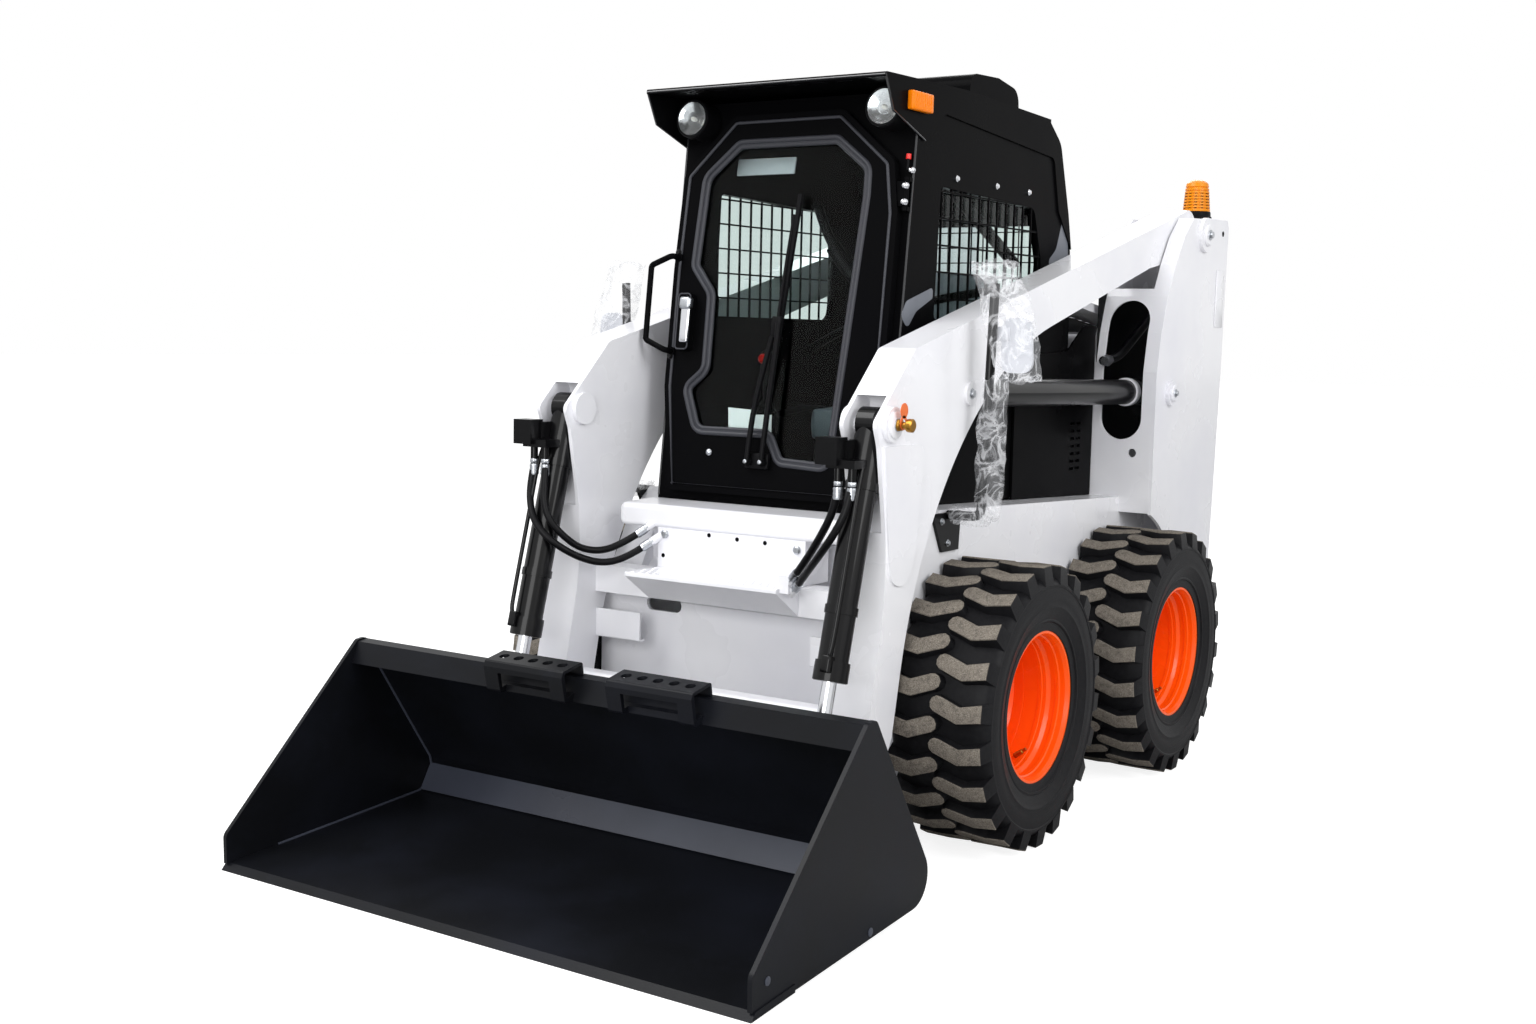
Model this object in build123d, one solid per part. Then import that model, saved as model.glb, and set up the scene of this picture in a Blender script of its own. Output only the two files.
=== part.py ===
from build123d import *
import os
from math import acos, atan2, cos, degrees, hypot, pi, radians, sin, sqrt, tan

# Skid steer loader, in millimetres. +X is the machine's left, -Y its front, +Z up, and the ground is z = 0.
# Side views are drawn in stations: distances behind the front axle. Tables name their columns.

# ---------------------------------------------------------------- driving dimensions
WHEELBASE = 1095
TYRE_RADIUS = 409
TYRE_WIDTH = 305
FRONT_REACH = 1513
REAR_REACH = 1960
BUCKET_WIDTH = 1694
CAB_WIDTH = 820
TUB_WIDTH = 1040
# how far the wheels' middles and the towers' outer plates stand out beyond the tub, over both sides
TRACK = TUB_WIDTH + 313
TOWER_WIDTH = TUB_WIDTH + 240
TOWER_INNER = 400
ARM_INNER = 465
ARM_WIDTH = 113
PLATE = 12
RUNNING_GAP = 5.5
PIN_GAP = 0.5
FACE_GAP = 0.3

# The origin is under the middle of the whole machine, so the front axle's place follows from the two reaches.
AXLE_Y = (FRONT_REACH - REAR_REACH) / 2
ARM_OUTER = ARM_INNER + ARM_WIDTH
ARM_MIDDLE = ARM_INNER + ARM_WIDTH / 2
TOWER_OUTER = TOWER_WIDTH / 2

# Pins in side view: station, height.
ARM_PIVOT = (1670, 1836)
LIFT_BASE_PIN = (1385, 1269)
LIFT_ROD_PIN = (-50, 1290)
TILT_BASE_PIN = (-500, 1217)
TILT_ROD_PIN = (-744, 330)
BUCKET_PIVOT = (-594, 210)

PIVOT_PIN_RADIUS = 30
LIFT_PIN_RADIUS = 22
TILT_PIN_RADIUS = 20
BUCKET_PIN_RADIUS = 25


# ---------------------------------------------------------------- drawing helpers
def station(s):
    """Y of a distance behind the front axle."""
    return AXLE_Y + s


def outline(rows):
    """Closed side view from rows of station, height and corner radius."""
    points = [(station(s), z) for s, z, _ in rows]
    return make_face(FilletPolyline(*points, radius=[r for _, _, r in rows], close=True))


def side_solid(rows, x_low, x_high):
    """Side view carried across from x_low to x_high."""
    return extrude(Plane.YZ.offset(x_low) * outline(rows), amount=x_high - x_low)


def cross_pin(pin, radius, x_low, x_high):
    """Round bar along X through a pin's place in side view."""
    s, z = pin
    place = Plane(origin=(x_low, station(s), z), x_dir=(0, 1, 0), z_dir=(1, 0, 0))
    return extrude(place * Circle(radius), amount=x_high - x_low)


def block(x_low, x_high, s_low, s_high, z_low, z_high):
    """Box between two x, two stations and two heights."""
    size = (x_high - x_low, s_high - s_low, z_high - z_low)
    middle = ((x_low + x_high) / 2, station((s_low + s_high) / 2), (z_low + z_high) / 2)
    return Pos(*middle) * Box(*size)


def right_hand(part):
    """The same piece on the machine's right side."""
    return mirror(part, Plane.YZ)


def both_sides(part):
    """A left-hand piece with its right-hand twin."""
    return Compound(children=[part, right_hand(part)])


def along(start, end):
    """Plane in the side view at a pin, with z towards another pin and x across the machine."""
    direction = (0, end[0] - start[0], end[1] - start[1])
    return Plane(origin=(0, station(start[0]), start[1]), x_dir=(1, 0, 0), z_dir=direction)


def distance(start, end):
    return hypot(end[0] - start[0], end[1] - start[1])


HINGE_RADIUS = 9
HINGE_PIN_RADIUS = 5
HINGE_LUG = 12
HINGE_GAP = 1


def knuckle(axis, length):
    """Moving half of a hinge: a bored barrel along the plane's z from its origin."""
    return extrude(axis * (Circle(HINGE_RADIUS) - Circle(HINGE_PIN_RADIUS + PIN_GAP)), amount=length)


def hinge_lugs(axis, length):
    """Fixed half of a hinge: a lug beyond each end of the knuckle and the pin through both."""
    low = axis.offset(-HINGE_GAP - HINGE_LUG)
    lugs = extrude(low * Circle(HINGE_RADIUS - 1), amount=HINGE_LUG)
    lugs += extrude(axis.offset(length + HINGE_GAP) * Circle(HINGE_RADIUS - 1), amount=HINGE_LUG)
    return lugs + extrude(low * Circle(HINGE_PIN_RADIUS), amount=length + 2 * (HINGE_GAP + HINGE_LUG))


# ---------------------------------------------------------------- wheels
RIM_SEAT_RADIUS = 214
RIM_FLANGE_RADIUS = 228
RIM_HALF_WIDTH = 124
RIM_LIP = 6
DISC_INSET = 58
DISC_PLATE = 14
HUB_RADIUS = 60
HUB_FLANGE_RADIUS = 112
HUB_HEIGHT = 30
CARCASS_RADIUS = 380
TREAD_HALF_WIDTH = 148
SIDEWALL_RADIUS = 296
LUGS_PER_SIDE = 22
LUG_WIDTH = 42
LUG_ROOT_RADIUS = 368
LUG_BEND = 76
LUG_LEAD = 44


def flat_faced_ring(section, sides):
    """Ring of flat faces about the X axis. section: x, distance of its flats from the axis."""
    stretch = 1 / cos(pi / sides)
    angles = [2 * pi * (i + 0.5) / sides for i in range(sides)]

    def corner(row, angle):
        x, flat = row
        return Vector(x, flat * stretch * sin(angle), flat * stretch * cos(angle))

    faces = []
    for near, far in zip(section, section[1:] + section[:1]):
        for a, b in zip(angles, angles[1:] + angles[:1]):
            corners = [corner(near, a), corner(far, a), corner(far, b), corner(near, b)]
            faces.append(Face(Wire.make_polygon(corners, close=True)))
    return Solid(Shell(faces))


def tyre_carcass():
    """Casing with one flat to a lug: bead seats on the rim, bulging sidewalls and the tread's floor."""
    side = [
        (RIM_HALF_WIDTH, RIM_SEAT_RADIUS),
        (RIM_HALF_WIDTH, RIM_FLANGE_RADIUS + 6),
        (TYRE_WIDTH / 2 - 1, SIDEWALL_RADIUS),
        (TREAD_HALF_WIDTH, CARCASS_RADIUS),
    ]
    return flat_faced_ring(side + [(-x, r) for x, r in reversed(side)], LUGS_PER_SIDE)


def lug_outline():
    """Dog-leg lug seen from outside the tread: straight from the shoulder, then bent to the middle."""
    half, middle = LUG_WIDTH / 2, LUG_LEAD / 2
    run = hypot(LUG_BEND, LUG_LEAD)
    across, along_tread = half * LUG_LEAD / run, half * LUG_BEND / run
    knee = half * (run - LUG_BEND) / LUG_LEAD
    points = [
        (TREAD_HALF_WIDTH, -middle - half),
        (TREAD_HALF_WIDTH, -middle + half),
        (LUG_BEND + knee, -middle + half),
        (across, middle + along_tread),
        (-across, middle - along_tread),
        (LUG_BEND - knee, -middle - half),
    ]
    return make_face(Polyline(*points, close=True))


def tyre(side):
    """Tyre about the X axis: lugs from both shoulders, half a pitch apart."""
    top = sqrt(TYRE_RADIUS**2 - (LUG_WIDTH / 2 + LUG_LEAD / 2) ** 2)
    lug = extrude(Plane.XY.offset(LUG_ROOT_RADIUS) * lug_outline(), amount=top - LUG_ROOT_RADIUS)
    pitch = 360 / LUGS_PER_SIDE
    far_lug = mirror(lug, Plane.YZ)
    lugs = [Rot(i * pitch, 0, 0) * lug for i in range(LUGS_PER_SIDE)]
    lugs += [Rot((i + 0.5) * pitch, 0, 0) * far_lug for i in range(LUGS_PER_SIDE)]
    whole = tyre_carcass() + lugs
    return whole if side > 0 else right_hand(whole)


def rim(side):
    """Deep-dished wheel: flanges, stepped barrel, disc near the inboard side and its hub."""
    inner_disc = -DISC_INSET - DISC_PLATE
    lip = RIM_HALF_WIDTH + RIM_LIP
    barrel = RIM_SEAT_RADIUS - 9
    # distance outboard of the wheel's middle, radius
    section = [
        (-lip, RIM_FLANGE_RADIUS),
        (-RIM_HALF_WIDTH, RIM_FLANGE_RADIUS),
        (-RIM_HALF_WIDTH, RIM_SEAT_RADIUS),
        (RIM_HALF_WIDTH, RIM_SEAT_RADIUS),
        (RIM_HALF_WIDTH, RIM_FLANGE_RADIUS),
        (lip, RIM_FLANGE_RADIUS),
        (lip, barrel + 5),
        (RIM_HALF_WIDTH - 6, barrel),
        (RIM_HALF_WIDTH - 50, barrel - 2),
        (RIM_HALF_WIDTH - 60, barrel - 11),
        (-DISC_INSET + 20, barrel - 15),
        (-DISC_INSET + 6, barrel - 30),
        (-DISC_INSET, barrel - 50),
        (-DISC_INSET, HUB_RADIUS),
        (-DISC_INSET + HUB_HEIGHT, HUB_RADIUS - 6),
        (-DISC_INSET + HUB_HEIGHT, 0),
        (inner_disc - DISC_PLATE, 0),
        (inner_disc - DISC_PLATE, HUB_FLANGE_RADIUS),
        (inner_disc, HUB_FLANGE_RADIUS),
        (inner_disc, barrel - 48),
        (inner_disc - 4, barrel - 8),
        (-RIM_HALF_WIDTH + 6, barrel),
        (-lip, barrel + 5),
    ]
    whole = revolve(make_face(Polyline(*section, close=True)), axis=Axis.X)
    return whole if side > 0 else right_hand(whole)


AXLE_TUBE_RADIUS = 85


def axle_housings():
    """Four axle tubes between the chaincases and the wheel hubs."""
    start = TUB_WIDTH / 2
    end = TRACK / 2 - DISC_INSET - 2 * DISC_PLATE - FACE_GAP
    tubes = []
    for s in (0, WHEELBASE):
        tube = cross_pin((s, TYRE_RADIUS), AXLE_TUBE_RADIUS, start, end)
        flange = cross_pin((s, TYRE_RADIUS), AXLE_TUBE_RADIUS + 30, start, start + PLATE)
        tubes += [tube + flange, right_hand(tube + flange)]
    return Compound(children=tubes)


# ---------------------------------------------------------------- chassis
BELLY = 200
TOE_STATION = -330
CAB_FRONT = -205
CAB_BASE = 937
RAIL_FLANGE = 10
# station, height along the top of each chaincase
RAIL = [(-95, 957), (1204, 905), (1890, 878)]
# station, height, corner radius of each chaincase's side
CHAINCASE = [
    (TOE_STATION, 270, 0),
    (TOE_STATION, 640, 0),
    (-205, 870, 30),
    (*RAIL[0], 0),
    (*RAIL[1], 0),
    (*RAIL[2], 0),
    (1890, 430, 0),
    (1730, BELLY, 0),
    (-262, BELLY, 0),
]
# station, height, corner radius of the sheet that closes the front between the chaincases
FRONT_SHEET = [
    (-262, BELLY, 0),
    (TOE_STATION, 270, 0),
    (TOE_STATION, 640, 0),
    (-222, 752, 0),
    (-222, CAB_BASE - FACE_GAP, 0),
    (-150, CAB_BASE - FACE_GAP, 0),
    (-150, CAB_BASE - PLATE, 0),
    (-210, CAB_BASE - PLATE, 0),
    (-210, 745, 0),
    (-318, 633, 0),
    (-318, 276, 0),
    (-256, BELLY + PLATE, 0),
]
CHAINCASE_WIDTH = 114
FIREWALL_STATION = 1012
REAR_PLATE_STATION = 1878
REAR_SILL = 560
BUMPER_HALF_WIDTH = 560
BUMPER_LOW = 470
# x, station of the tie-down holes through the bumper's ends
TIE_DOWN = (490, 1926)
TIE_DOWN_RADIUS = 18


def chassis_frame():
    """Welded tub: two chaincases, floor, front sheet, firewall, rear plate and bumper."""
    inner = TUB_WIDTH / 2 - CHAINCASE_WIDTH
    tub = side_solid(CHAINCASE, inner, TUB_WIDTH / 2)
    tub += right_hand(tub)
    tub += side_solid(FRONT_SHEET, -inner, inner)
    tub += block(-inner, inner, -262, 1730, BELLY, BELLY + PLATE)
    tub += block(-inner, inner, FIREWALL_STATION, FIREWALL_STATION + PLATE, BELLY, CAB_BASE - FACE_GAP)
    rear = [
        (1730, BELLY, 0),
        (1890, 430, 0),
        (1890, REAR_SILL, 0),
        (REAR_PLATE_STATION, REAR_SILL, 0),
        (REAR_PLATE_STATION, 436, 0),
        (1724, BELLY + PLATE, 0),
    ]
    tub += side_solid(rear, -inner, inner)
    tub += block(-BUMPER_HALF_WIDTH, BUMPER_HALF_WIDTH, 1885, REAR_REACH, BUMPER_LOW, REAR_SILL - 8)
    for x in (-TIE_DOWN[0], TIE_DOWN[0]):
        tub -= Pos(x, station(TIE_DOWN[1]), BUMPER_LOW) * Cylinder(TIE_DOWN_RADIUS, 300)
    slot = Pos(-281, station(TOE_STATION), 629) * Rot(90, 0, 0) * extrude(SlotOverall(130, 42), amount=60, both=True)
    tub -= slot
    return tub


# ---------------------------------------------------------------- lift-arm towers
WHEEL_ARCH_RADIUS = 466
# station, height of the tower's front edge from the top down
TOWER_FRONT = [(1559, 1889), (1473, 1820), (1395, 1716), (1331, 1605), (1284, 1478), (1256, 1343), (1254, 1207)]
# station, height of its rear edge from the bottom up
TOWER_REAR = [(1880, 566), (1925, 1328), (1940, 1877), (1922, 1904)]
TOWER_FOOT = 600
SLOT_WIDTH = 150
SLOT_LOW = 1105
SLOT_HIGH = 1590
NOTCH_HEIGHT = 1632
CAP_STATION = 1790
CAP_HEIGHT = 1904


def tower_left():
    """Open box of plates: the arm turns between the inner and outer plate, the lift cylinder passes the slot."""
    rear_axle = (WHEELBASE, TYRE_RADIUS)
    side = [(s, z, 0) for s, z in TOWER_FRONT] + [(1260, TOWER_FOOT, 0), (1600, 480, 0)]
    side += [(s, z, 0) for s, z in TOWER_REAR]
    outer = side_solid(side, TOWER_OUTER - PLATE, TOWER_OUTER)
    outer -= cross_pin(rear_axle, WHEEL_ARCH_RADIUS, TOWER_OUTER - 2 * PLATE, TOWER_OUTER + PLATE)
    above_rail = [(s, z, 0) for s, z in TOWER_FRONT] + [(1256, 903, 0), (1890, 878, 0)]
    above_rail += [(s, z, 0) for s, z in TOWER_REAR[1:]]
    inner = side_solid(above_rail, TOWER_INNER, TOWER_INNER + PLATE)
    facing = [(s, z, 0) for s, z in TOWER_FRONT] + [(1256, 903, 0), (1256 + PLATE, 903, 0)]
    facing += [(s + PLATE, z, 0) for s, z in reversed(TOWER_FRONT)]
    front = side_solid(facing, TOWER_INNER, TOWER_OUTER - PLATE)
    lower = [(1256, 903, 0), (1260, 850, 0), (1260 + PLATE, 850, 0), (1256 + PLATE, 903, 0)]
    front += side_solid(lower, TUB_WIDTH / 2, TOWER_OUTER - PLATE)
    notch_side = ARM_OUTER + RUNNING_GAP
    front -= block(TOWER_INNER + PLATE, notch_side, 1200, 1600, NOTCH_HEIGHT, 1950)
    slot_middle = (SLOT_LOW + SLOT_HIGH) / 2
    slot = SlotOverall(SLOT_HIGH - SLOT_LOW, SLOT_WIDTH, rotation=90)
    front -= Pos(ARM_MIDDLE - 6, station(1300), slot_middle) * Rot(90, 0, 0) * extrude(slot, amount=140, both=True)
    front -= Pos(562, station(1300), 1059) * Rot(90, 0, 0) * extrude(Circle(15), amount=140, both=True)
    closing = [(s, z, 0) for s, z in TOWER_REAR[1:]] + [(s - PLATE, z, 0) for s, z in reversed(TOWER_REAR[1:])]
    back = side_solid(closing, TOWER_INNER, TOWER_OUTER - PLATE)
    low_back = [(1880, 566, 0), (1925, 1328, 0), (1925 - PLATE, 1328, 0), (1880 - PLATE, 566, 0)]
    back += side_solid(low_back, TUB_WIDTH / 2, TOWER_OUTER - PLATE)
    back += side_solid(
        [(1898, 879, 0), (1925, 1328, 0), (1925 - PLATE, 1328, 0), (1898 - PLATE, 879, 0)],
        TOWER_INNER,
        TUB_WIDTH / 2,
    )
    cap = block(TOWER_INNER, TOWER_OUTER - PLATE, CAP_STATION, 1924, CAP_HEIGHT - PLATE, CAP_HEIGHT)
    tower = outer + inner + front + back + cap
    for pin, boss in ((ARM_PIVOT, 62), (LIFT_BASE_PIN, 44)):
        tower += cross_pin(pin, boss, TOWER_OUTER, TOWER_OUTER + 14)
    tower += cross_pin(ARM_PIVOT, PIVOT_PIN_RADIUS, TOWER_INNER, TOWER_OUTER)
    tower += cross_pin(LIFT_BASE_PIN, LIFT_PIN_RADIUS, TOWER_INNER, TOWER_OUTER)
    return tower


REAR_DOOR_HINGE = (404, 1946)
REAR_DOOR_KNUCKLES = (920, 1300)
REAR_KNUCKLE_LENGTH = 60


def rear_door_axis(z):
    x, s = REAR_DOOR_HINGE
    return Plane(origin=(x, station(s), z), z_dir=(0, 0, 1))


def rear_door_lugs():
    """Hinge lugs on the left tower for the rear door."""
    x, s = REAR_DOOR_HINGE
    whole = []
    for z in REAR_DOOR_KNUCKLES:
        whole.append(hinge_lugs(rear_door_axis(z), REAR_KNUCKLE_LENGTH))
        for low in (z - HINGE_GAP - HINGE_LUG, z + REAR_KNUCKLE_LENGTH + HINGE_GAP):
            whole.append(block(x - 3, x + 22, 1890, s, low, low + HINGE_LUG))
    return whole


# ---------------------------------------------------------------- lift arms
ARM_END_RADIUS = 90
LEG_END_RADIUS = 55
ELBOW_RADIUS = 1250
ARM_BOSS = 47
BOSS_HEIGHT = 14
# station, height, corner radius of the arm's side, clockwise from the rear end's top
ARM_SIDE = [
    (1670, 1926, 0),
    (-376, 1415, 40),
    (-577, 1221, 25),
    (-552, 1160, 60),
    (-488, 810, 900),
    (-576, 420, 0),
    (-648, 222, 0),
    (-552, 176, 0),
    (-446, 371, 0),
    (-246, 1293, ELBOW_RADIUS),
    (1310, 1702, 0),
    (1640, 1752, 0),
]
# rooms between the arm's plates for the two cylinders' eyes
LIFT_POCKET = [(-112, 1348, 30), (-112, 1060, 0), (560, 1060, 0), (560, 1348, 0)]
TILT_POCKET = [(-700, 1292, 0), (-436, 1292, 30), (-436, 1140, 0), (-494, 930, 0), (-700, 930, 0)]
# doubling plate on the leg's outer face
LEG_DOUBLER = [(-538, 1160, 0), (-498, 850, 0), (-484, 783, 60), (-384, 783, 60), (-352, 880, 0), (-318, 1160, 40)]
DOUBLER_PLATE = 7
# bent plate on the leg's inner face
STOP_PLATE = [(-425, 525, 6), (-425, 612, 0), (-418, 612, 0), (-418, 532, 0), (-400, 532, 0), (-400, 525, 0)]


def lift_arm_left():
    """Box arm from the tower pivot down to the bucket pivot, open at the elbow for its two cylinders."""
    arm = side_solid(ARM_SIDE, ARM_INNER, ARM_OUTER)
    arm += cross_pin(ARM_PIVOT, ARM_END_RADIUS, ARM_INNER, ARM_OUTER)
    arm += cross_pin(BUCKET_PIVOT, LEG_END_RADIUS, ARM_INNER, ARM_OUTER)
    arm -= side_solid(LIFT_POCKET, ARM_INNER + PLATE, ARM_OUTER - PLATE)
    arm -= side_solid(TILT_POCKET, ARM_INNER + PLATE, ARM_OUTER - PLATE)
    arm += side_solid(LEG_DOUBLER, ARM_OUTER, ARM_OUTER + DOUBLER_PLATE)
    arm += cross_pin(ARM_PIVOT, 56, TOWER_INNER + PLATE + FACE_GAP, TOWER_OUTER - PLATE - FACE_GAP)
    arm += cross_pin(TILT_BASE_PIN, ARM_BOSS, ARM_OUTER, ARM_OUTER + BOSS_HEIGHT)
    arm += cross_pin(TILT_BASE_PIN, ARM_BOSS, ARM_INNER - BOSS_HEIGHT, ARM_INNER)
    arm += cross_pin(TILT_BASE_PIN, TILT_PIN_RADIUS, ARM_INNER, ARM_OUTER)
    arm += cross_pin(LIFT_ROD_PIN, LIFT_PIN_RADIUS + 12, ARM_OUTER, ARM_OUTER + 10)
    arm += side_solid(STOP_PLATE, 300, ARM_INNER)
    arm -= cross_pin(ARM_PIVOT, PIVOT_PIN_RADIUS + PIN_GAP, TOWER_INNER, TOWER_OUTER)
    arm -= cross_pin(BUCKET_PIVOT, BUCKET_PIN_RADIUS + PIN_GAP, ARM_INNER, ARM_OUTER)
    return arm


STEP_HALF_WIDTH = 262
SHELF_HALF_WIDTH = 412
# station, height, corner radius of the cover between the legs, its shelf, its step and the beam below
COVER = [(-395, 745, 0), (-395, 872, 0), (-270, 872, 0), (-270, 745, 0)]
SHELF = [(-397, 870, 12), (-397, 938, 18), (-248, 942, 8), (-248, 870, 0)]
STEP = [(-547, 742, 0), (-547, 754, 4), (-395, 754, 0), (-395, 666, 0), (-430, 664, 0)]
BEAM = [(-430, 664, 0), (-430, 745, 0), (-350, 745, 0), (-350, 664, 0)]
HOSE_BLOCK = (254, 290, -530, -470, 742, 790)
LOW_BEAM = [(-574, 330, 0), (-574, 448, 12), (-520, 448, 0), (-500, 330, 0)]


def crossmember_upper():
    """Beam between the legs with a covered valve space, a shelf above it and a folded step in front."""
    shelf = side_solid(SHELF, -SHELF_HALF_WIDTH, SHELF_HALF_WIDTH)
    shelf = fillet(shelf.edges().filter_by(Axis.Z), 28)
    whole = shelf + side_solid(COVER, -STEP_HALF_WIDTH + 4, STEP_HALF_WIDTH - 4)
    whole += side_solid(STEP, -STEP_HALF_WIDTH, STEP_HALF_WIDTH)
    whole += side_solid(BEAM, -ARM_INNER, ARM_INNER)
    return whole + block(*HOSE_BLOCK)


def crossmember_lower():
    """Folded beam between the lower ends of the legs."""
    return side_solid(LOW_BEAM, -ARM_INNER, ARM_INNER)


# ---------------------------------------------------------------- cylinders
LIFT_BORE = 43
LIFT_ROD = 24
LIFT_BARREL_LENGTH = 1240
TILT_BORE = 41
TILT_ROD = 20
TILT_BARREL_LENGTH = 686
ROD_GAP = 0.5
EYE_HALF_WIDTH = 26


def barrel(base_pin, rod_pin, bore, rod, length, pin_radius):
    """Cylinder barrel from its base eye to its gland, bored for the rod."""
    plane = Plane(along(base_pin, rod_pin).location * Location((ARM_MIDDLE, 0, 0)))
    tube = extrude(plane * Circle(bore), amount=length)
    gland = extrude(plane.offset(length - 46) * Circle(bore + 6), amount=46)
    eye = cross_pin(base_pin, bore + 4, ARM_MIDDLE - EYE_HALF_WIDTH, ARM_MIDDLE + EYE_HALF_WIDTH)
    body = tube + gland
    body -= cross_pin(base_pin, bore + 3, 0, ARM_MIDDLE - EYE_HALF_WIDTH)
    body -= cross_pin(base_pin, bore + 3, ARM_MIDDLE + EYE_HALF_WIDTH, TOWER_OUTER)
    body += eye
    body -= extrude(plane.offset(bore + 14) * Circle(rod + ROD_GAP), amount=length)
    return body - cross_pin(base_pin, pin_radius + PIN_GAP, ARM_INNER, ARM_OUTER)


def rod(base_pin, rod_pin, radius, reach, eye_radius, pin_radius, pin_half):
    """Chromed rod from inside the barrel to its eye, with the pin that the eye carries."""
    plane = Plane(along(rod_pin, base_pin).location * Location((ARM_MIDDLE, 0, 0)))
    bar = extrude(plane * Circle(radius), amount=reach)
    eye = cross_pin(rod_pin, eye_radius, ARM_MIDDLE - EYE_HALF_WIDTH, ARM_MIDDLE + EYE_HALF_WIDTH)
    return bar + eye + cross_pin(rod_pin, pin_radius, ARM_MIDDLE - pin_half, ARM_MIDDLE + pin_half)


LIFT_ROD_LENGTH = 1345
TILT_ROD_LENGTH = 755
LIFT_EYE_RADIUS = 38
TILT_EYE_RADIUS = 33


def lift_barrel_left():
    return barrel(LIFT_BASE_PIN, LIFT_ROD_PIN, LIFT_BORE, LIFT_ROD, LIFT_BARREL_LENGTH, LIFT_PIN_RADIUS)


def lift_rod_left():
    half = ARM_WIDTH / 2 - PLATE - RUNNING_GAP
    return rod(LIFT_BASE_PIN, LIFT_ROD_PIN, LIFT_ROD, LIFT_ROD_LENGTH, LIFT_EYE_RADIUS, LIFT_PIN_RADIUS, half)


# Port block on the front of each tilt barrel, in x from the barrel's middle, station and height.
PORT_BLOCK = (-88, -22, -640, -586, 1112, 1184)
PORT_WEB = (-36, -16, -600, -545, 1118, 1176)
PORT_FOOT = (-62, 26, -628, -566, 1104, 1126)
PORTS = [-33, 9]
PORT_STATION = -610
FITTING_RADIUS = 11
FITTING_END = 1062


def tilt_barrel(middle):
    """Tilt cylinder barrel with the port block that its two hoses leave. Both sides use the same hand."""
    whole = barrel(TILT_BASE_PIN, TILT_ROD_PIN, TILT_BORE, TILT_ROD, TILT_BARREL_LENGTH, TILT_PIN_RADIUS)
    whole = Pos(middle - ARM_MIDDLE, 0, 0) * whole
    for low, high, *rest in (PORT_BLOCK, PORT_WEB, PORT_FOOT):
        whole += block(middle + low, middle + high, *rest)
    for port in PORTS:
        place = Pos(middle + port, station(PORT_STATION), FITTING_END)
        whole += place * Cylinder(FITTING_RADIUS, 60, align=(Align.CENTER, Align.CENTER, Align.MIN))
    return whole


def tilt_rod_left():
    half = ARM_WIDTH / 2
    return rod(TILT_BASE_PIN, TILT_ROD_PIN, TILT_ROD, TILT_ROD_LENGTH, TILT_EYE_RADIUS, TILT_PIN_RADIUS, half)


# ---------------------------------------------------------------- bucket
BUCKET_CHEEK = 12
BACK_LOW = (-670, 58)
BACK_HIGH = (-1006, 558)
BUCKET_OUTER = [(-1345, 14, 0), (*BACK_LOW, 75), (*BACK_HIGH, 10), (-1042, 552, 0), (-1345, 200, 0)]
BUCKET_INNER = [
    (-1700, 5, 0),
    (-694, 71, 64),
    (-958, 465, 0),
    (-1062, 492, 0),
    (-1042, 552, 0),
    (-1100, 700, 0),
    (-1700, 700, 0),
]
BUCKET_SIDE = [(-1506, 4, 0), (-1508, 96, 25), (-1041, 557, 18), (-1006, 561, 22), (-668, 56, 75)]
EDGE_PLATE = [(-FRONT_REACH, 0, 0), (-1496, 19, 0), (-1340, 31, 0), (-1340, 12, 0)]
EDGE_OVERHANG = 3
STEP_PADS = [-290, 120]
STEP_PAD_LENGTH = 268
STEP_LEG = 46
GRIP_PITCH = 50
GRIP_HOLE_RADIUS = 14


def cutting_edge():
    """Bevelled wear edge across the front of the bucket."""
    half = BUCKET_WIDTH / 2 + EDGE_OVERHANG
    return side_solid(EDGE_PLATE, -half, half)


def bucket_shell():
    """Rolled shell with a boxed top flange, two cheeks and two grip steps on the flange."""
    half = BUCKET_WIDTH / 2
    section = outline(BUCKET_OUTER) - outline(BUCKET_INNER)
    shell = extrude(Plane.YZ.offset(-half + BUCKET_CHEEK) * section, amount=BUCKET_WIDTH - 2 * BUCKET_CHEEK)
    shell += side_solid(BUCKET_SIDE, half - BUCKET_CHEEK, half)
    shell += side_solid(BUCKET_SIDE, -half, -half + BUCKET_CHEEK)
    pad = [(-1108, 560, 0), (-1102, 576, 8), (-1024, 592, 8), (-1018, 556, 0), (-1026, 556, 0), (-1030, 582, 0)]
    pad += [(-1096, 569, 0), (-1085, 505, 0), (-1053, 515, 0), (-1062, 492, 0), (-1093, 492, 8)]
    for x in STEP_PADS:
        step = side_solid(pad, x, x + STEP_PAD_LENGTH)
        step -= block(x + STEP_LEG, x + STEP_PAD_LENGTH - STEP_LEG, -1130, -1070, 480, 546)
        for i in range(-2, 3):
            grip = Pos(x + STEP_PAD_LENGTH / 2 + i * GRIP_PITCH, station(-1064), 580)
            step -= grip * Cylinder(GRIP_HOLE_RADIUS, 50)
        shell += step
    front = side_solid([(-1600, -20, 0), (-1600, 11, 0), (-1496, 19, 0), (-1340, 31, 0), (-1340, -20, 0)], -900, 900)
    return shell - front


def on_back(up, out):
    """Station and height of a place on the bucket's back: distance up it and distance off it."""
    run = distance(BACK_LOW, BACK_HIGH)
    ds, dz = (BACK_HIGH[0] - BACK_LOW[0]) / run, (BACK_HIGH[1] - BACK_LOW[1]) / run
    return BACK_LOW[0] + up * ds + out * dz, BACK_LOW[1] + up * dz - out * ds


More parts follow.
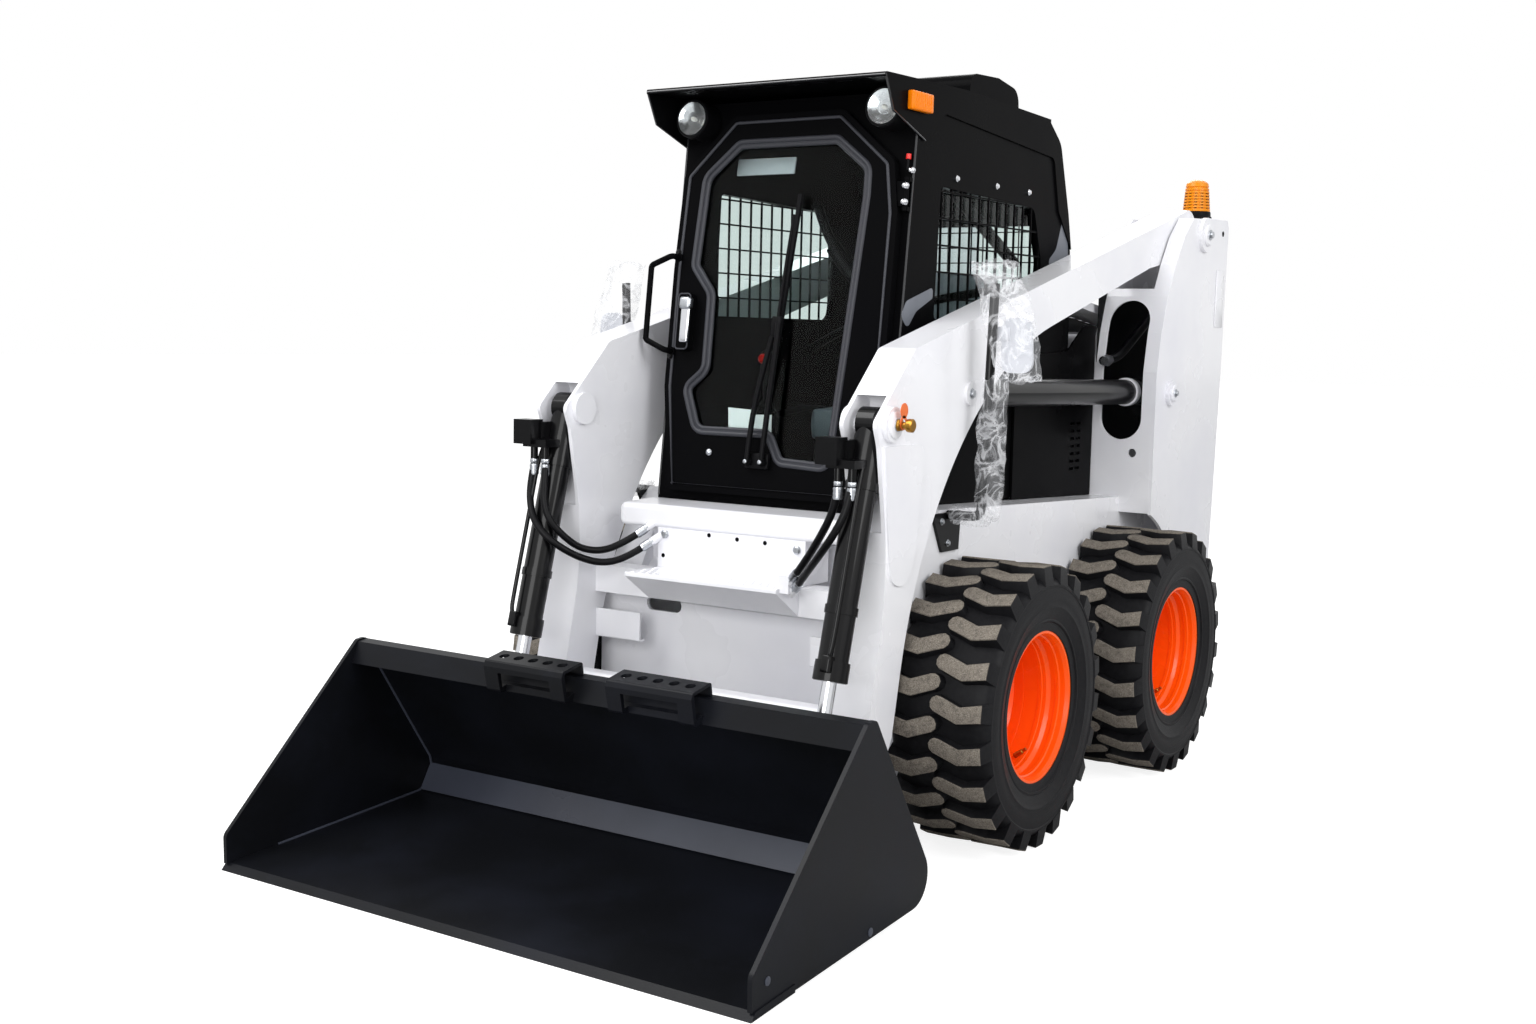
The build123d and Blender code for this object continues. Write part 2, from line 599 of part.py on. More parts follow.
MOUNT_LOW = 142
MOUNT_HIGH = 580
MOUNT_INNER = 432
MOUNT_OUTER = 612
RELIEF_LOW = 215
RELIEF_HIGH = 420
RELIEF_HALF_WIDTH = 36
EAR_FREE_EDGE = [(-760, 378, 40), (-555, 260, 30), (-545, 158, 45), (-640, 158, 30)]
TORQUE_TUBE = (-752, 290)
TORQUE_TUBE_RADIUS = 34


def quick_attach():
    """Carrier behind the bucket: two mount plates, four ears, four pins and a torque tube."""
    plate = [(MOUNT_LOW, FACE_GAP), (MOUNT_HIGH, FACE_GAP), (MOUNT_HIGH, PLATE), (MOUNT_LOW, PLATE)]
    side = side_solid([(*on_back(*p), 0) for p in plate], MOUNT_INNER, MOUNT_OUTER)
    relief = [(RELIEF_LOW, -9), (RELIEF_HIGH, -9), (RELIEF_HIGH, 2 * PLATE), (RELIEF_LOW, 2 * PLATE)]
    rows = [(*on_back(*p), 0) for p in relief]
    side -= side_solid(rows, ARM_MIDDLE - RELIEF_HALF_WIDTH, ARM_MIDDLE + RELIEF_HALF_WIDTH)
    low, high = ARM_INNER - RUNNING_GAP, ARM_OUTER + RUNNING_GAP
    ear = [(*on_back(MOUNT_LOW, PLATE / 2), 0), (*on_back(450, PLATE / 2), 0)] + EAR_FREE_EDGE
    side += side_solid(ear, low - PLATE, low) + side_solid(ear, high, high + PLATE)
    side += cross_pin(BUCKET_PIVOT, BUCKET_PIN_RADIUS, low, high)
    side += cross_pin(TILT_ROD_PIN, TILT_PIN_RADIUS + 10, high + PLATE, high + PLATE + 8)
    tube = cross_pin(TORQUE_TUBE, TORQUE_TUBE_RADIUS, -low + PLATE, low - PLATE)
    return side + right_hand(side) + tube


# ---------------------------------------------------------------- cab
CAB_WALL = 28
CAB_HALF = CAB_WIDTH / 2
SHEET = 6
REAR_WINDOW_HALF = 300
# station, height, corner radius
CAB_SIDE = [
    (CAB_FRONT, CAB_BASE, 0),
    (-66, 2142, 0),
    (215, 2163, 60),
    (810, 2147, 0),
    (899, 2091, 70),
    (980, 1868, 0),
    (1017, 1744, 0),
    (1030, 1500, 0),
    (1030, CAB_BASE, 0),
]
SIDE_WINDOW = [(48, 1500, 15), (72, 1885, 15), (720, 1868, 40), (785, 1700, 40), (760, 1500, 40)]
CAB_TILT = degrees(atan2(139, 1205))


def cab_front():
    """Plane of the cab's front face: x across, y up the face, z outward."""
    lean = radians(CAB_TILT)
    return Plane(origin=(0, station(CAB_FRONT), CAB_BASE), x_dir=(1, 0, 0), z_dir=(0, -cos(lean), sin(lean)))


# across, up the front face, corner radius
DOOR_EDGE = [(-348, 27, 20), (-390, 341, 60), (-390, 700, 0), (-377, 995, 40), (-208, 1164, 40)]
DOOR_EDGE += [(174, 1165, 40), (354, 1012, 40), (378, 861, 40), (378, 27, 20)]
DOOR_WINDOW = [(-304, 985, 60), (-184, 1088, 40), (165, 1088, 40), (281, 997, 50), (283, 913, 0)]
DOOR_WINDOW += [(227, 115, 40), (43, 124, 40), (-1, 205, 30), (-265, 204, 50), (-319, 343, 40)]
DOOR_WINDOW += [(-251, 401, 40), (-253, 626, 40), (-322, 710, 40)]
DOOR_THICKNESS = 30
DOOR_GAP = 3
GRAB_BAR = (450, 738)
GRAB_BAR_RADIUS = 9


# half width of the cab that the front face's tables are drawn for
DRAWN_HALF = 410


def beside(x):
    """An x of the front face's tables, kept at its distance from the nearer side of the cab."""
    return x + (CAB_HALF - DRAWN_HALF) * (1 if x > 0 else -1)


# across, outward from the face: the cab door's hinge line; then where its knuckles start, up the face
DOOR_HINGE = (beside(392), 19)
DOOR_KNUCKLES = (150, 880)
GRAB_BAR_X = beside(-443)
GRAB_BAR_FOOT = beside(-372)
DOOR_KNUCKLE_LENGTH = 70


def door_axis(up):
    face = cab_front()
    across, out = DOOR_HINGE
    origin = face.origin + face.x_dir * across + face.z_dir * out + face.y_dir * up
    return Plane(origin=origin, x_dir=face.x_dir, z_dir=face.y_dir)


def door_lugs():
    """Hinge lugs on the cab's left front pillar for the door."""
    across, out = DOOR_HINGE
    whole = []
    for up in DOOR_KNUCKLES:
        whole.append(hinge_lugs(door_axis(up), DOOR_KNUCKLE_LENGTH))
        for low in (up - HINGE_GAP - HINGE_LUG, up + DOOR_KNUCKLE_LENGTH + HINGE_GAP):
            foot = Pos(across + 2, low + HINGE_LUG / 2) * Rectangle(16, HINGE_LUG)
            whole.append(extrude(cab_front().offset(-4) * foot, amount=out + 4))
    return whole


def front_face(rows):
    return make_face(FilletPolyline(*[(beside(x), y) for x, y, _ in rows], radius=[r for _, _, r in rows], close=True))


def cab_shell():
    """Hollow cab: side walls, roof sheet, rear wall and floor, with door opening and windows cut."""
    half = CAB_HALF - SHEET
    body = side_solid(CAB_SIDE, -half, half)
    inside = offset(outline(CAB_SIDE), -CAB_WALL)
    body -= extrude(Plane.YZ.offset(-half + CAB_WALL) * inside, amount=2 * (half - CAB_WALL))
    body -= side_solid(SIDE_WINDOW, -half - 10, half + 10)
    opening = extrude(cab_front().offset(10) * front_face(DOOR_WINDOW), amount=-CAB_WALL - 40)
    body -= opening
    body -= block(-REAR_WINDOW_HALF, REAR_WINDOW_HALF, 900, 1100, 1500, 1830)
    body -= block(-half + 54, half - 54, -150, 300, 900, CAB_BASE + CAB_WALL + 5)
    return body


SLOT_PITCH = 84
ROOF_UNIT = [(436, 2150, 0), (446, 2268, 45), (640, 2277, 30), (790, 2255, 50), (800, 2140, 0)]
ROOF_TOP = [(-280, 2152, 0), (-280, 2166, 6), (215, 2177, 60), (812, 2161, 0), (812, 2149, 0), (215, 2165, 60)]
VISOR_CHEEK = [(-280, 2166, 6), (-231, 2066, 10), (-38, 2002, 20), (75, 2092, 30), (850, 2040, 30), (900, 1870, 0)]
VISOR_CHEEK += [(1012, 1752, 0), (980, 1868, 0), (899, 2091, 70), (812, 2150, 0), (215, 2172, 60)]


def cab_roof():
    """Roof sheet with its visor, the outer side sheets and the air conditioner housing."""
    top = side_solid(ROOF_TOP, -CAB_HALF, CAB_HALF)
    cheek = side_solid(VISOR_CHEEK, CAB_HALF - SHEET, CAB_HALF)
    unit = side_solid(ROOF_UNIT, -CAB_HALF + 110, CAB_HALF - 110)
    for i in range(-3, 4):
        top -= block(i * SLOT_PITCH - 29, i * SLOT_PITCH + 29, -262, -236, 2100, 2200)
    whole = top + cheek + right_hand(cheek) + unit
    return whole - side_solid(CAB_SIDE, -CAB_HALF + SHEET, CAB_HALF - SHEET)


GLASS = 5


def cab_glass():
    """Side windows and rear window."""
    x = CAB_HALF - SHEET - CAB_WALL + 8
    side = side_solid(SIDE_WINDOW, x, x + GLASS)
    pane = [(1016, 1500, 0), (1003, 1742, 0), (975, 1830, 0), (970, 1828, 0), (998, 1741, 0), (1011, 1500, 0)]
    rear = side_solid(pane, -REAR_WINDOW_HALF, REAR_WINDOW_HALF)
    return Compound(children=[side, right_hand(side), rear])


BAR = 5


def side_grilles():
    """Bar screens that fill the side windows, outside their glass."""
    x = CAB_HALF - SHEET - 5
    region = side_solid(SIDE_WINDOW, x - 4, x + 4)
    bars = [block(x - 3, x + 3, 40, 790, z - BAR / 2, z + BAR / 2) for z in range(1560, 1880, 78)]
    bars += [block(x - 3, x + 3, s - BAR / 2, s + BAR / 2, 1490, 1890) for s in range(85, 780, 62)]
    screen = (bars[0] + bars[1:]) & region
    return both_sides(screen)


def cab_door():
    """Front door leaf with its window cut and its hinge barrels."""
    leaf = extrude(cab_front().offset(DOOR_GAP) * front_face(DOOR_EDGE), amount=DOOR_THICKNESS)
    leaf -= extrude(cab_front() * front_face(DOOR_WINDOW), amount=DOOR_THICKNESS + 10)
    across, out = DOOR_HINGE
    for up in DOOR_KNUCKLES:
        strap = Pos(across - 20, up + DOOR_KNUCKLE_LENGTH / 2) * Rectangle(40, DOOR_KNUCKLE_LENGTH)
        leaf += extrude(cab_front().offset(out) * strap, amount=HINGE_RADIUS)
        leaf -= extrude(door_axis(up) * Circle(HINGE_PIN_RADIUS + PIN_GAP), amount=DOOR_KNUCKLE_LENGTH)
        leaf += knuckle(door_axis(up), DOOR_KNUCKLE_LENGTH)
    face = cab_front().offset(DOOR_GAP + DOOR_THICKNESS)
    leaf += extrude(face * Pos(beside(-321), 540) * RectangleRounded(50, 175, 12), amount=26)
    low, high = GRAB_BAR
    for y in (low, high):
        leaf += extrude(face * Pos(GRAB_BAR_FOOT, y) * Circle(GRAB_BAR_RADIUS + 5), amount=8)
    ends = [(GRAB_BAR_FOOT, low, 0), (GRAB_BAR_FOOT, low, 40), (GRAB_BAR_X, low + 30, 45)]
    ends += [(GRAB_BAR_X, high - 30, 45), (GRAB_BAR_FOOT, high, 40), (GRAB_BAR_FOOT, high, 0)]
    path = face.location * FilletPolyline(*ends, radius=14)
    start = face.origin + face.x_dir * GRAB_BAR_FOOT + face.y_dir * low
    leaf += sweep(Plane(origin=start, z_dir=face.z_dir) * Circle(GRAB_BAR_RADIUS), path=path)
    return leaf


def cab_door_glass():
    """Curved-edge pane that fills the door's window."""
    return extrude(cab_front().offset(DOOR_GAP + 12) * front_face(DOOR_WINDOW), amount=GLASS)


SEAT_BASE = CAB_BASE + CAB_WALL
CONSOLE_WIDTH = 90
CONSOLE_FROM_SIDE = 110


def seat():
    """Seat base, cushion and back, as one moulded piece."""
    rows = [(330, SEAT_BASE, 0), (300, 1180, 30), (320, 1240, 40), (640, 1215, 20), (700, 1240, 20)]
    rows += [(800, 1690, 50), (900, 1690, 50), (850, SEAT_BASE, 0)]
    half = CAB_HALF - CONSOLE_FROM_SIDE - CONSOLE_WIDTH / 2 - 20
    return side_solid(rows, -half, half)


def control_consoles():
    """Armrest consoles with a joystick each."""
    middle = CAB_HALF - CONSOLE_FROM_SIDE
    rows = [(180, SEAT_BASE, 0), (160, 1170, 30), (560, 1210, 30), (600, SEAT_BASE, 0)]
    base = side_solid(rows, middle - CONSOLE_WIDTH / 2, middle + CONSOLE_WIDTH / 2)
    stick = Pos(middle, station(235), 1165) * Cylinder(11, 150, align=(Align.CENTER, Align.CENTER, Align.MIN))
    grip = Pos(middle, station(235), 1290) * Cylinder(22, 90, align=(Align.CENTER, Align.CENTER, Align.MIN))
    return both_sides(base + stick + grip)


# ---------------------------------------------------------------- engine bay
def engine_block():
    """Engine as one plain mass."""
    return block(-230, 230, 1200, 1700, BELLY + PLATE, 1120)


HOOD_HALF = TOWER_INNER - RUNNING_GAP
HOOD = [(1072, 1560, 0), (1072, 1600, 20), (1880, 1500, 14), (1880, 1470, 0), (1090, 1568, 0)]


HOOD_HINGE = (1056, 1590)
HOOD_KNUCKLES = (-REAR_WINDOW_HALF - 75, REAR_WINDOW_HALF + 15)
HOOD_KNUCKLE_LENGTH = 60


def hood_axis(x):
    s, z = HOOD_HINGE
    return Plane(origin=(x, station(s), z), x_dir=(0, 1, 0), z_dir=(1, 0, 0))


def hood_lugs():
    """Hinge lugs on the cab's rear wall for the engine hood."""
    s, z = HOOD_HINGE
    whole = []
    for x in HOOD_KNUCKLES:
        whole.append(hinge_lugs(hood_axis(x), HOOD_KNUCKLE_LENGTH))
        for low in (x - HINGE_GAP - HINGE_LUG, x + HOOD_KNUCKLE_LENGTH + HINGE_GAP):
            whole.append(block(low, low + HINGE_LUG, 1016, s, z - 8, z + 8))
    return whole


def engine_hood():
    """Lid over the engine bay, with turned-down sides and cooling slots."""
    lid = side_solid(HOOD, -HOOD_HALF, HOOD_HALF)
    for s in range(1250, 1750, 70):
        lid -= block(-260, 260, s, s + 28, 1400, 1700)
    s, z = HOOD_HINGE
    for x in HOOD_KNUCKLES:
        lid += block(x, x + HOOD_KNUCKLE_LENGTH, s, 1076, z - 9, z)
        lid -= extrude(hood_axis(x) * Circle(HINGE_PIN_RADIUS + PIN_GAP), amount=HOOD_KNUCKLE_LENGTH)
        lid += knuckle(hood_axis(x), HOOD_KNUCKLE_LENGTH)
    return lid


REAR_DOOR = [(1896, 575, 0), (1950, 575, 18), (1950, 1430, 40), (1920, 1470, 20), (1896, 1470, 0)]


def rear_door():
    """Tailgate across the engine bay with a barred grille."""
    leaf = side_solid(REAR_DOOR, -HOOD_HALF, HOOD_HALF)
    for z in range(800, 1300, 62):
        leaf -= block(-280, 280, 1880, 1960, z, z + 34)
    x, s = REAR_DOOR_HINGE
    for z in REAR_DOOR_KNUCKLES:
        leaf += block(x - 70, x, s, s + HINGE_RADIUS, z, z + REAR_KNUCKLE_LENGTH)
        leaf -= extrude(rear_door_axis(z) * Circle(HINGE_PIN_RADIUS + PIN_GAP), amount=REAR_KNUCKLE_LENGTH)
        leaf += knuckle(rear_door_axis(z), REAR_KNUCKLE_LENGTH)
    return leaf


# station, height, corner radius of the screen that closes the engine bay's side above the chaincase
SIDE_PANEL = [(602, 930, 0), (602, 1390, 20), (1010, 1410, 0), (1150, 1500, 30), (1244, 1500, 0), (1244, 904, 0)]
SIDE_PANEL_X = CAB_HALF - SHEET + 2.5


def engine_side_panels():
    """Screens beside cab and engine bay, each with its cooling louvres."""
    panel = side_solid(SIDE_PANEL, SIDE_PANEL_X, SIDE_PANEL_X + 8)
    for s in (1055, 1105):
        for z in range(1000, 1160, 26):
            panel -= block(SIDE_PANEL_X - 5, SIDE_PANEL_X + 20, s, s + 36, z, z + 10)
    return both_sides(panel)


# ---------------------------------------------------------------- lamps, beacon, mirrors
LAMP_RADIUS = 55


def lamps():
    """Two round work lamps under the visor, two tail lamps and two side markers."""
    face = cab_front()
    front = extrude(face.offset(0) * Pos(beside(332), 1152) * Circle(LAMP_RADIUS), amount=70)
    marker = side_solid([(-150, 2080, 4), (-150, 2130, 4), (-40, 2130, 4), (-40, 2080, 4)], CAB_HALF, CAB_HALF + 18)
    tail = side_solid([(1906, 1000, 0), (1911.9, 1100, 0), (1936, 1100, 8), (1930, 1000, 8)], 480, 590)
    parts = [front, marker, tail]
    return Compound(children=parts + [right_hand(p) for p in parts])


def beacon():
    """Rotating beacon on the left tower's cap."""
    place = Pos(540, station(1858), CAP_HEIGHT + FACE_GAP)
    base = place * Cylinder(58, 30, align=(Align.CENTER, Align.CENTER, Align.MIN))
    dome = place * Pos(0, 0, 30) * Cylinder(50, 118, align=(Align.CENTER, Align.CENTER, Align.MIN))
    dome = fillet(dome.edges().group_by(Axis.Z)[-1], 22)
    return base + dome


MIRROR_BRACKET_X = TUB_WIDTH / 2
MIRROR_POST_X = MIRROR_BRACKET_X + 196
MIRROR_TUBE = 14


def mirrors():
    """Mirror posts bolted to the chaincases, each with its head."""
    bracket = side_solid([(-92, 835, 0), (-150, 945, 10), (-60, 950, 10), (20, 950, 0), (10, 835, 0)], MIRROR_BRACKET_X, MIRROR_BRACKET_X + 10)
    route = [(MIRROR_BRACKET_X + 7, station(-60), 905), (MIRROR_POST_X, station(-60), 905), (MIRROR_POST_X, station(-60), 1600)]
    path = FilletPolyline(*route, radius=70)
    tube = sweep(Plane(origin=route[0], z_dir=(1, 0, 0)) * Circle(MIRROR_TUBE), path=path)
    head = block(MIRROR_POST_X - 96, MIRROR_POST_X + 99, -85, -35, 1310, 1650)
    head = fillet(head.edges().filter_by(Axis.Y), 30)
    return both_sides(bracket + tube + head)


# ---------------------------------------------------------------- hoses
HOSE_RADIUS = 10.5
PORT_CLEARANCE = 6
HOSE_START = FITTING_END - PORT_CLEARANCE
LEFT_PORTS = [ARM_MIDDLE + port for port in PORTS]
RIGHT_PORTS = [-ARM_MIDDLE + port for port in PORTS]
# x, station, height of each hose's route, from its port to the crossmember
HOSES = {
    "hose_left_inner": [
        (LEFT_PORTS[0], PORT_STATION, HOSE_START),
        (478, -608, 999),
        (446, -600, 942),
        (400, -580, 884),
        (350, -553, 831),
        (304, -526, 789),
    ],
    "hose_left_outer": [
        (LEFT_PORTS[1], PORT_STATION, HOSE_START),
        (526, -622, 1005),
        (508, -634, 955),
        (473, -630, 905),
        (425, -605, 858),
        (366, -563, 809),
        (309, -519, 762),
    ],
    "hose_right_outer": [
        (RIGHT_PORTS[0], PORT_STATION, HOSE_START),
        (-563, -616, 1000),
        (-548, -636, 945),
        (-517, -655, 893),
        (-471, -651, 847),
        (-433, -615, 809),
        (-404, -565, 780),
        (-359, -519, 766),
        (-313, -469, 784),
        (-272, -421, 824),
    ],
    "hose_right_inner": [
        (RIGHT_PORTS[1], PORT_STATION, HOSE_START),
        (-504, -621, 1004),
        (-494, -638, 949),
        (-475, -634, 893),
        (-444, -602, 844),
        (-420, -557, 808),
        (-380, -505, 799),
        (-338, -453, 824),
        (-298, -411, 862),
    ],
}


def runs(points):
    return [b - a for a, b in zip(points, points[1:])]


def bend_radii(points):
    """Radius at each corner of a route: 0.45 of the shorter run over the tangent of half the turn."""
    radii = []
    for before, after in zip(runs(points), runs(points)[1:]):
        turn = acos(min(1, before.normalized().dot(after.normalized())))
        radii.append(0.45 * min(before.length, after.length) / tan(turn / 2))
    return radii


def hose(name):
    """Rubber hose: straight runs with tangent arcs between them."""
    points = [Vector(x, station(s), z) for x, s, z in HOSES[name]]
    radii = bend_radii(points)
    path = FilletPolyline(*points, radius=radii)
    print(name, "length", round(path.length), "radii", [round(r) for r in radii])
    return sweep(Plane(origin=points[0], z_dir=points[1] - points[0]) * Circle(HOSE_RADIUS), path=path)


GLAND_RADIUS = 12
GLAND_LENGTH = 44


def hose_glands():
    """Bulkhead fittings on the crossmember, one facing each hose's end."""
    glands = []
    for rows in HOSES.values():
        points = [Vector(x, station(s), z) for x, s, z in rows]
        inward = (points[-1] - points[-2]).normalized()
        place = Plane(origin=points[-1] + inward * FACE_GAP, z_dir=inward)
        glands.append(extrude(place * Circle(GLAND_RADIUS), amount=GLAND_LENGTH))
    return glands


def main():
    nodes = {
        "chassis_frame": chassis_frame(),
        "tower_left": tower_left(),
        "axle_housings": axle_housings(),
        "engine_block": engine_block(),
        "engine_hood": engine_hood(),
        "rear_door": rear_door(),
        "engine_side_panels": engine_side_panels(),
        "cab_shell": cab_shell() + hood_lugs() + door_lugs(),
        "cab_roof": cab_roof(),
        "cab_glass": cab_glass(),
        "side_grilles": side_grilles(),
        "cab_door": cab_door(),
        "cab_door_glass": cab_door_glass(),
        "seat": seat(),
        "control_consoles": control_consoles(),
        "lamps": lamps(),
        "beacon": beacon(),
        "mirrors": mirrors(),
        "lift_arm_left": lift_arm_left(),
        "crossmember_upper": crossmember_upper() + hose_glands(),
        "crossmember_lower": crossmember_lower(),
        "lift_barrel_left": lift_barrel_left(),
        "lift_rod_left": lift_rod_left(),
        "tilt_rod_left": tilt_rod_left(),
        "bucket_shell": bucket_shell(),
        "cutting_edge": cutting_edge(),
        "quick_attach": quick_attach(),
    }
    for name in [n for n in nodes if n.endswith("_left")]:
        nodes[name.replace("_left", "_right")] = right_hand(nodes[name])
    nodes["tower_left"] += rear_door_lugs()
    for name in HOSES:
        nodes[name] = hose(name)
    for hand, side in (("left", 1), ("right", -1)):
        nodes[f"tilt_barrel_{hand}"] = tilt_barrel(side * ARM_MIDDLE)
        tyre_form, rim_form = tyre(side), rim(side)
        for end, s in (("front", 0), ("rear", WHEELBASE)):
            place = Pos(side * TRACK / 2, station(s), TYRE_RADIUS)
            nodes[f"tyre_{end}_{hand}"] = place * tyre_form
            nodes[f"rim_{end}_{hand}"] = place * rim_form
    os.makedirs("parts", exist_ok=True)
    for name, solid in nodes.items():
        export_step(solid, f"parts/{name}.step")


main()
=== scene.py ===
from math import cos, pi, radians, sin, tan

import bpy
from bpy.props import FloatProperty, FloatVectorProperty, IntProperty, PointerProperty
from mathutils import Matrix, Vector


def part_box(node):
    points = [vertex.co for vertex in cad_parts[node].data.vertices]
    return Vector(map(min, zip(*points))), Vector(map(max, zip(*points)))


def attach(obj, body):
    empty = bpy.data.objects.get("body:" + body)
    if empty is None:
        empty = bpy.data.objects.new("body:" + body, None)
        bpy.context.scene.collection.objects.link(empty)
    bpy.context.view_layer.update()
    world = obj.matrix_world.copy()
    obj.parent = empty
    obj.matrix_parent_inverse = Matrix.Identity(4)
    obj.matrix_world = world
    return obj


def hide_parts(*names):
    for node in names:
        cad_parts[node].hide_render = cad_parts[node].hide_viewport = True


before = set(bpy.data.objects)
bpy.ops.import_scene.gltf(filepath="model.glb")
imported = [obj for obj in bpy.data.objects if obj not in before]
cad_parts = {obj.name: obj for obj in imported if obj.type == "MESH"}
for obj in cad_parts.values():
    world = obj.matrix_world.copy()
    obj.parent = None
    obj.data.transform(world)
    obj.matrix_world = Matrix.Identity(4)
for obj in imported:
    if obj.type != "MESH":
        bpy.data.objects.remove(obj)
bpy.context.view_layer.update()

bl_info = {
    "name": "Skid steer loader finish",
    "version": (1, 0, 0),
    "blender": (4, 5, 0),
    "location": "View3D > Sidebar > Loader",
    "description": "Paints the packed skid steer loader and adds its fittings",
    "category": "Object",
}

# ---------------------------------------------------------------- places, in metres
# +X is the machine's left, -Y its front. Places behind the front axle are called stations, as on a body drawing.


def middle(node):
    """Middle of a CAD node's box."""
    low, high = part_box(node)
    return (low + high) / 2


FRONT_AXLE = middle("rim_front_left")
REAR_AXLE = middle("rim_rear_left")
TYRE_RADIUS = (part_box("tyre_front_left")[1].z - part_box("tyre_front_left")[0].z) / 2
# foot of the cab's leaning front face: station, height and lean
CAB_FRONT = -0.205
CAB_BASE = 0.937
LEAN = radians(6.58)
# x of the lift arms' outer faces and middles, of the towers' outer faces, the cab's sides and the bucket's cheeks
ARM_OUTER = 0.578
ARM_MIDDLE = 0.5215
TOWER_OUTER = 0.640
CAB_SIDE = 0.404
CHEEK_INNER = 0.8345
CHEEK_OUTER = 0.8468
# pins in side view: station, height
ARM_PIVOT = (1.670, 1.836)
LIFT_BASE_PIN = (1.385, 1.269)
LIFT_ROD_PIN = (-0.050, 1.290)
TILT_BASE_PIN = (-0.500, 1.217)
TILT_ROD_PIN = (-0.744, 0.330)


def place(x, station, z):
    """A point from its x, its distance behind the front axle and its height."""
    return Vector((x, FRONT_AXLE.y + station, z))


def places(*rows):
    """Points from rows of x, station and height."""
    return [place(*row) for row in rows]


def side_view(x, rows):
    """Points at one x from rows of station and height."""
    return [place(x, station, z) for station, z in rows]


def front_view(station, rows):
    """Points at one station from rows of x and height."""
    return [place(x, station, z) for x, z in rows]


def on_front(x, up, out):
    """A point by its x, its distance up the cab's leaning front face and its distance off it."""
    foot = place(x, CAB_FRONT, CAB_BASE)
    return foot + Vector((0, up * sin(LEAN) - out * cos(LEAN), up * cos(LEAN) + out * sin(LEAN)))


def all_on_front(*rows):
    """Points from rows of x, distance up the cab's front face and distance off it."""
    return [on_front(*row) for row in rows]


def off_front():
    """Direction straight off the cab's front face."""
    return on_front(0, 0, 1) - on_front(0, 0, 0)


def up_front():
    """Direction straight up the cab's front face."""
    return on_front(0, 1, 0) - on_front(0, 0, 0)


# ---------------------------------------------------------------- making pieces
def only(obj):
    """Selects one object alone and makes it active."""
    if bpy.context.object and bpy.context.object.mode != "OBJECT":
        bpy.ops.object.mode_set(mode="OBJECT")
    bpy.ops.object.select_all(action="DESELECT")
    obj.select_set(True)
    bpy.context.view_layer.objects.active = obj
    return obj


def fresh():
    """Leaves nothing selected before a primitive is added."""
    if bpy.context.object and bpy.context.object.mode != "OBJECT":
        bpy.ops.object.mode_set(mode="OBJECT")
    bpy.ops.object.select_all(action="DESELECT")


def applied(obj):
    """Writes a piece's place, turn and size into its mesh."""
    only(obj)
    bpy.ops.object.transform_apply(location=True, rotation=True, scale=True)
    return obj


def opened(obj):
    """Enters edit mode with the whole mesh selected."""
    only(obj)
    bpy.ops.object.mode_set(mode="EDIT")
    bpy.ops.mesh.select_all(action="SELECT")


def removed(obj):
    """Deletes a piece that was only a pattern for others."""
    only(obj)
    bpy.ops.object.delete()


def duplicate(obj):
    """Copy with its own mesh."""
    only(obj)
    bpy.ops.object.duplicate(linked=False)
    return bpy.context.object


def trace(points):
    """Chain of edges through the points, left open and in edit mode."""
    fresh()
    bpy.ops.mesh.primitive_plane_add(size=0.001, location=points[0])
    opened(applied(bpy.context.object))
    bpy.ops.mesh.merge(type="CENTER")
    bpy.ops.mesh.select_mode(type="VERT")
    for start, end in zip(points, points[1:]):
        step = Vector(end) - Vector(start)
        bpy.ops.mesh.extrude_region_move(TRANSFORM_OT_translate={"value": step})
    bpy.ops.mesh.select_all(action="SELECT")
    return bpy.context.object


def tidy(merge=0.00001):
    """Merges doubles, turns faces outward and leaves edit mode."""
    bpy.ops.mesh.select_all(action="SELECT")
    bpy.ops.mesh.remove_doubles(threshold=merge)
    bpy.ops.mesh.normals_make_consistent(inside=False)
    bpy.ops.object.mode_set(mode="OBJECT")
    return bpy.context.object


def turned(profile, centre, axis=(1, 0, 0), steps=48):
    """Lathe work: profile rows of distance along the axis and radius, spun about the axis through centre."""
    centre, along = Vector(centre), Vector(axis).normalized()
    out = along.orthogonal().normalized()
    trace([centre + along * a + out * r for a, r in profile])
    bpy.ops.mesh.spin(steps=steps, angle=2 * pi, center=centre, axis=along)
    return tidy()


def rounded(rows, steps=5):
    """Closed outline with its corners rounded: rows of two coordinates and a corner radius."""
    points = []
    for i, (a, b, radius) in enumerate(rows):
        corner = Vector((a, b))
        before, after = Vector(rows[i - 1][:2]), Vector(rows[(i + 1) % len(rows)][:2])
        if radius <= 0:
            points.append(corner)
            continue
        u, v = (before - corner).normalized(), (after - corner).normalized()
        half = u.angle(v) / 2
        reach = radius / tan(half)
        middle_way = corner + (u + v).normalized() * radius / sin(half)
        start, end = corner + u * reach - middle_way, corner + v * reach - middle_way
        for k in range(steps + 1):
            way = start.lerp(end, k / steps).normalized() * radius
            points.append(middle_way + way)
    return points


def line_through(points, kind, radius, roundness):
    """Curve object with a round section through the points."""
    data = bpy.data.curves.new("line", "CURVE")
    data.dimensions = "3D"
    data.bevel_depth = radius
    data.bevel_resolution = roundness
    data.use_fill_caps = True
    spline = data.splines.new(kind)
    spline.points.add(len(points) - 1)
    for point, row in zip(spline.points, points):
        point.co = (*row, 1)
    obj = bpy.data.objects.new("line", data)
    bpy.context.collection.objects.link(obj)
    return obj


def as_mesh(line):
    """Turns a curve object into a mesh."""
    only(line)
    bpy.ops.object.convert(target="MESH")
    bpy.ops.object.mode_set(mode="EDIT")
    return tidy()


